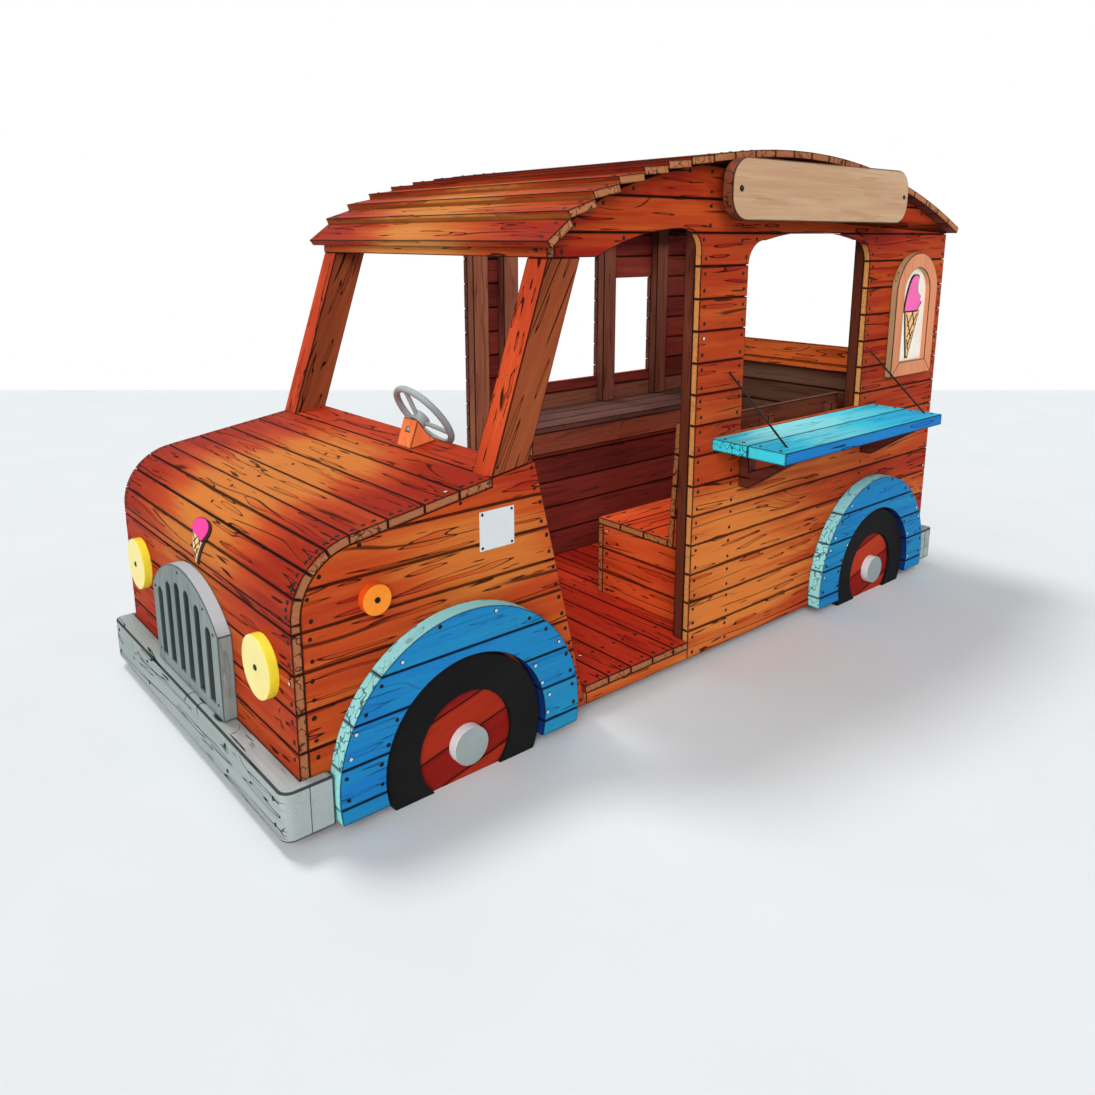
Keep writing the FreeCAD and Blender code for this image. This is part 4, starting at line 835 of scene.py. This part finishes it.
def bumper_lines():
    """Upright joint lines near the corners of the bumpers' side returns."""
    lines = []
    for node, way in (("bumper_front", -1), ("bumper_rear", 1)):
        centre, _, half = DRESSED[node][1][0]
        y = centre.y + way * (half.y - 0.078)
        lines += [((x, y, 0.046), (x, y, 0.190), Y) for x in (-0.758, 0.758)]
    dark_lines("bumper_lines", lines)


def slot_shade():
    """Dark strips behind the grille's slots: painted shadow."""
    bm = bmesh.new()
    for i in range(SLOTS):
        x = (i - (SLOTS - 1) / 2) * SLOT_PITCH
        head = math.sqrt(GRILLE_RADIUS ** 2 - x * x) - GRILLE_RADIUS + GRILLE_TOP - SLOT_BELOW_TOP
        block(bm, (x - SLOT_HALF, -1.6845, SLOT_FOOT), (x + SLOT_HALF, -1.6804, head))
    piece("slot_shade", bm, [SHADOW_GREY])


badges()
blank_plate()
mitre_lines()
bumper_lines()
slot_shade()


# ---------- screws
def screw_tree():
    """Geometry Nodes: a countersunk screw at every point, turned to the point's facing."""
    n, given, out = group(
        "screws", "GeometryNodeTree",
        {"Geometry": ("Points",), "Float": ("Head Radius", "Head Rise"),
         "Material": ("Rim Finish", "Core Finish"), "Int": ("Seed",)}, {"Geometry": ("Screws",)})
    radius, rise = given["Head Radius"], given["Head Rise"]

    def cone(bottom, depth, fill):
        return n.add("GeometryNodeMeshCone", {"Vertices": 12, "Radius Top": n.times(radius, 0.74),
                                              "Radius Bottom": bottom, "Depth": depth},
                     fill_type=fill).outputs[0]

    lift = n.add("ShaderNodeCombineXYZ", {2: n.times(rise, 0.5)}).outputs[0]
    dish = cone(n.times(radius, 0.35), n.times(rise, 0.5), "NGON")
    sunk = n.add("GeometryNodeTransform", {"Geometry": dish, "Translation": lift}).outputs[0]
    joined = n.add("GeometryNodeJoinGeometry")
    for part, finish in ((cone(radius, rise, "NONE"), "Rim Finish"), (sunk, "Core Finish")):
        part = n.add("GeometryNodeSetMaterial", {"Geometry": part, "Material": given[finish]})
        n.link(part.outputs[0], joined.inputs[0])
    facing_at = n.add("GeometryNodeInputNamedAttribute", {"Name": "facing"}, data_type="FLOAT_VECTOR")
    turn = n.add("FunctionNodeAlignRotationToVector", {"Vector": facing_at.outputs[0]}, axis="Z")
    spin = n.add("FunctionNodeRandomValue", {"Min": (0, 0, 0), "Max": (0, 0, 6.28), "Seed": given["Seed"]},
                 data_type="FLOAT_VECTOR")
    euler = n.add("FunctionNodeEulerToRotation", {0: spin.outputs[0]})
    spun = n.add("FunctionNodeRotateRotation", {0: turn.outputs[0], 1: euler.outputs[0]},
                 rotation_space="LOCAL")
    sizes = n.add("FunctionNodeRandomValue", {"Min": (0.85,) * 3, "Max": (1.15,) * 3, "Seed": given["Seed"]},
                  data_type="FLOAT_VECTOR")
    screws = n.add("GeometryNodeInstanceOnPoints", {"Points": given["Points"], "Instance": joined.outputs[0],
                                                    "Rotation": spun.outputs[0], "Scale": sizes.outputs[0]})
    real = n.add("GeometryNodeRealizeInstances", {0: screws.outputs[0]})
    n.link(real.outputs[0], out[0])
    return n.tree


SCREWS = screw_tree()
MARGIN = 0.013  # sound wood wanted round a screw
NARROW = 0.035  # half width up to which a board gets one screw abreast
END_STEPS, END_STEP = 40, 0.012  # search inwards from a board's end
CLEAR_OF_END, APART, JITTER = 0.06, 0.05, 0.004


def grown(name, points, values, tree=SCREWS, body="root"):
    """Runs a tree on (place, facing) points and keeps the result as a plain mesh piece."""
    mesh = bpy.data.meshes.new(name + "_points")
    mesh.from_pydata([p for p, _ in points], [], [])
    facing_at = mesh.attributes.new("facing", "FLOAT_VECTOR", "POINT")
    facing_at.data.foreach_set("vector", [c for _, normal in points for c in normal])
    seedling = placed(name + "_points", mesh)
    modifier = seedling.modifiers.new("grow", "NODES")
    modifier.node_group = tree
    sockets = {s.name: s.identifier for s in tree.interface.items_tree if s.in_out == "INPUT"}
    for title, value in values.items():
        modifier[sockets[title]] = value
    depsgraph = bpy.context.evaluated_depsgraph_get()
    result = bpy.data.meshes.new_from_object(seedling.evaluated_get(depsgraph))
    seedling.modifiers.remove(modifier)
    bpy.data.objects.remove(seedling)
    made = placed(name, result)
    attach(made, body)


def solid_under(tree, spot, out):
    """Place and facing of the surface under a spot, if it's whole for a margin round it."""
    hit = tree.ray_cast(spot + out * RAY, -out, 2 * RAY)
    if hit[0] is None or hit[1].dot(out) < 0.4:
        return None
    side = out.orthogonal().normalized()
    for turn in range(4):
        away = Matrix.Rotation(turn * math.pi / 2, 3, out) @ side * MARGIN
        near = tree.ray_cast(spot + away + out * RAY, -out, 2 * RAY)
        if near[0] is None or abs((near[0] - hit[0]).dot(out)) > 0.004 + MARGIN * 0.6:
            return None
    return hit[0], hit[1]


def fixings(node, out, lines=None, inset=0.026, spread=0.28, face=None):
    """Screw places on a node's boards, two abreast at both ends and at lines, given along the grain."""
    tree, frames = DRESSED[node]
    found = []
    for centre, axes, half in frames:
        along, across, through = axes
        facing_out = through if through.dot(out) > 0 else -through
        if facing_out.dot(out) < 0.3 or (face and not face(centre)):
            continue
        offsets = (-spread, spread) if half.y > NARROW else (0.0,)
        for offset in offsets:
            row = centre + across * offset * 2 * half.y
            spots = []
            for way in (-1, 1):
                for step in range(END_STEPS):
                    reach = half.x - inset - step * END_STEP
                    if reach <= 0:
                        break
                    hit = solid_under(tree, row + along * way * reach, facing_out)
                    if hit:
                        spots.append(hit)
                        break
            for line in lines or ():
                spot = row + along * (line - centre.dot(along))
                if abs(line - centre.dot(along)) < half.x - CLEAR_OF_END:
                    hit = solid_under(tree, spot, facing_out)
                    if hit and all((hit[0] - s[0]).length > APART for s in spots):
                        spots.append(hit)
            found += spots
    jittered = []
    for place, normal in found:
        shift = Vector([rng.uniform(-JITTER, JITTER) for _ in range(3)])
        jittered.append((place + shift - normal * shift.dot(normal), normal))
    return jittered


def post_lines(node):
    """Middle of each post of a node along the truck."""
    return sorted({round(centre.y, 3) for centre, _, _ in DRESSED[node][1]})


def gathered(*rows):
    """Screw places of several nodes, each row being what fixings takes."""
    return [spot for row in rows for spot in fixings(*row)]


def wall_fixings():
    left, right = post_lines("wall_posts_left"), post_lines("wall_posts_right")
    up_hood, up_pillar = Vector((0, -0.7, 0.7)), Vector((0, -0.9, 0.4))
    return (gathered(("side_rear_left", X, left), ("side_rear_right", -X, right),
                     ("side_front_left", X, left), ("side_front_right", -X, right),
                     ("front_boards", -Y), ("rear_boards", Y), ("hood_boards", up_hood))
            + fixings("hood_boards", up_hood, (0.0,), spread=0.0)[::2]
            + gathered(("roof_boards", Z, None, 0.04), ("header_front", -Y),
                       ("dash_boards", Vector((0, 0.3, 0.95))), ("windscreen_pillar_left", up_pillar),
                       ("windscreen_pillar_right", up_pillar)))


def other_fixings():
    return (gathered(("floor_boards", Z, (-0.54, 0.0, 0.54)), ("bench_seat", Z))
            + fixings("bench_ends", -Y, face=lambda c: c.y < 0.3)
            + gathered(("bench_side", -X), ("bench_back", -X), ("counter_boards", Z), ("worktop", Z),
                       ("bumper_front", -Y, (-0.36, 0.36), 0.06), ("bumper_rear", Y, (-0.36, 0.36), 0.06)))


def arch_fixings():
    return gathered(*((node, way) for node in ("fenders_front", "fenders_rear") for way in (X, -X)))


def single(node, places, out):
    """Screws at given places on one node or piece."""
    tree = DRESSED[node][0]
    hits = [tree.ray_cast(Vector(place) + out * RAY, -out, 2 * RAY) for place in places]
    return [(hit[0], hit[1]) for hit in hits if hit[0]]


def fitting_screws():
    plate = [(0.73, y, z) for y in (-1.058, -0.946) for z in (0.713, 0.819)]
    grille = [(x, -1.73, z) for x, z in ((-0.262, 0.47), (-0.262, 0.24), (0.262, 0.47), (0.262, 0.24),
                                         (-0.02, 0.585), (0.19, 0.53))]
    return single("side_plate", plate, X) + single("grille", grille, -Y)


def large_screws():
    return (single("headlamps", [(-0.535, -1.72, 0.465), (0.535, -1.72, 0.465)], -Y)
            + single("indicators", [(0.76, -1.438, 0.659)], X)
            + single("indicators", [(-0.76, -1.438, 0.659)], -X)
            + single("sign_board", [(0.83, -0.005, 1.797), (0.83, 1.085, 1.797)], X))


def all_screws():
    walls, arches = wall_fixings() + other_fixings(), arch_fixings()
    rng.shuffle(walls)
    rng.shuffle(arches)
    few, many = len(walls) // 40, len(arches) // 3
    small = {"Head Radius": 0.0050, "Head Rise": 0.0018, "Rim Finish": SCREW, "Core Finish": SCREW, "Seed": 5}
    dark = {**small, "Head Radius": 0.0070, "Head Rise": 0.0022}
    grown("screws_dark", walls[few:] + arches[many:], dark)
    grown("screws_bright", walls[:few] + arches[:many], {**dark, "Core Finish": ZINC})
    grown("screws_small", fitting_screws(), small)
    grown("screws_large", large_screws(), {**dark, "Head Radius": 0.0105, "Head Rise": 0.003})


all_screws()


# ---------- floor, light and camera
def stage_floor():
    """A plain pale floor, square to the camera, with white beyond its far edge."""
    yaw = Matrix.Rotation(CAMERA_YAW, 3, "Z")
    mesh = bpy.data.meshes.new("floor")
    corners = [yaw @ Vector((x * FLOOR_HALF, y * FLOOR_DEPTH, FLOOR_Z))
               for x, y in ((-1, -1), (1, -1), (1, 1), (-1, 1))]
    mesh.from_pydata(corners, [], [(0, 1, 2, 3)])
    floor = placed("floor", mesh)
    made, n, shader, bump = surface("floor_grey", 0.0)
    body = n.add("ShaderNodeTexCoord").outputs["Object"]
    cloud = n.noise(body, (2.0, 2.0), 2.0)
    n.link(n.mix(cloud, hexed("E8ECEE"), hexed("EEF2F3")), shader.inputs["Base Color"])
    shader.inputs["Roughness"].default_value = 0.9
    mesh.materials.append(made)


def sky(strength):
    """Soft white light all round; plain white where the camera sees it, gloss and glass included."""
    world = bpy.data.worlds.new("studio")
    bpy.context.scene.world = world
    world.use_nodes = True
    n = Tree(world.node_tree)
    n.tree.nodes.clear()
    path = n.add("ShaderNodeLightPath").outputs
    seen = n.maths("MAXIMUM", path["Is Camera Ray"],
                   n.maths("MAXIMUM", path["Is Glossy Ray"], path["Is Transmission Ray"]))
    soft = n.add("ShaderNodeBackground", {"Color": (0.97, 0.985, 1.0, 1), "Strength": strength})
    white = n.add("ShaderNodeBackground", {"Color": (1, 1, 1, 1), "Strength": 1.0})
    both = n.add("ShaderNodeMixShader", {0: seen, 1: soft.outputs[0], 2: white.outputs[0]})
    out = n.add("ShaderNodeOutputWorld")
    n.link(both.outputs[0], out.inputs[0])


def sun(name, towards, strength, spread):
    """Soft light from one direction."""
    data = bpy.data.lights.new(name, "SUN")
    data.energy, data.angle = strength, math.radians(spread)
    placed(name, data).rotation_euler = (-Vector(towards)).to_track_quat("-Z", "Y").to_euler()


def ceiling_light(power):
    """A wide soft lamp under the roof, for the inside."""
    data = bpy.data.lights.new("ceiling_light", "AREA")
    data.energy, data.shape, data.size, data.size_y = power, "RECTANGLE", 1.1, 2.0
    made = placed("ceiling_light", data)
    made.location = (-0.05, 0.35, 1.60)
    made.visible_camera = made.visible_glossy = False


def camera():
    """Stands off the front left corner, at eye height, with its frame shifted down a little."""
    data = bpy.data.cameras.new("camera")
    data.sensor_width, data.lens, data.shift_y = 36, 29.635, -0.1
    made = placed("camera", data)
    made.location = (2.8187, -2.5898, 1.6306)
    level = math.cos(CAMERA_PITCH)
    look = Vector((-math.sin(CAMERA_YAW) * level, math.cos(CAMERA_YAW) * level, -math.sin(CAMERA_PITCH)))
    made.rotation_euler = look.to_track_quat("-Z", "Y").to_euler()
    bpy.context.scene.camera = made


bpy.context.scene.view_settings.view_transform = "Standard"
stage_floor()
sky(0.34)
sun("high_light", (-0.40, -0.10, 1.0), 1.3, 14)
sun("front_light", (0.64, -0.60, 0.46), 2.0, 40)
ceiling_light(10.0)
camera()
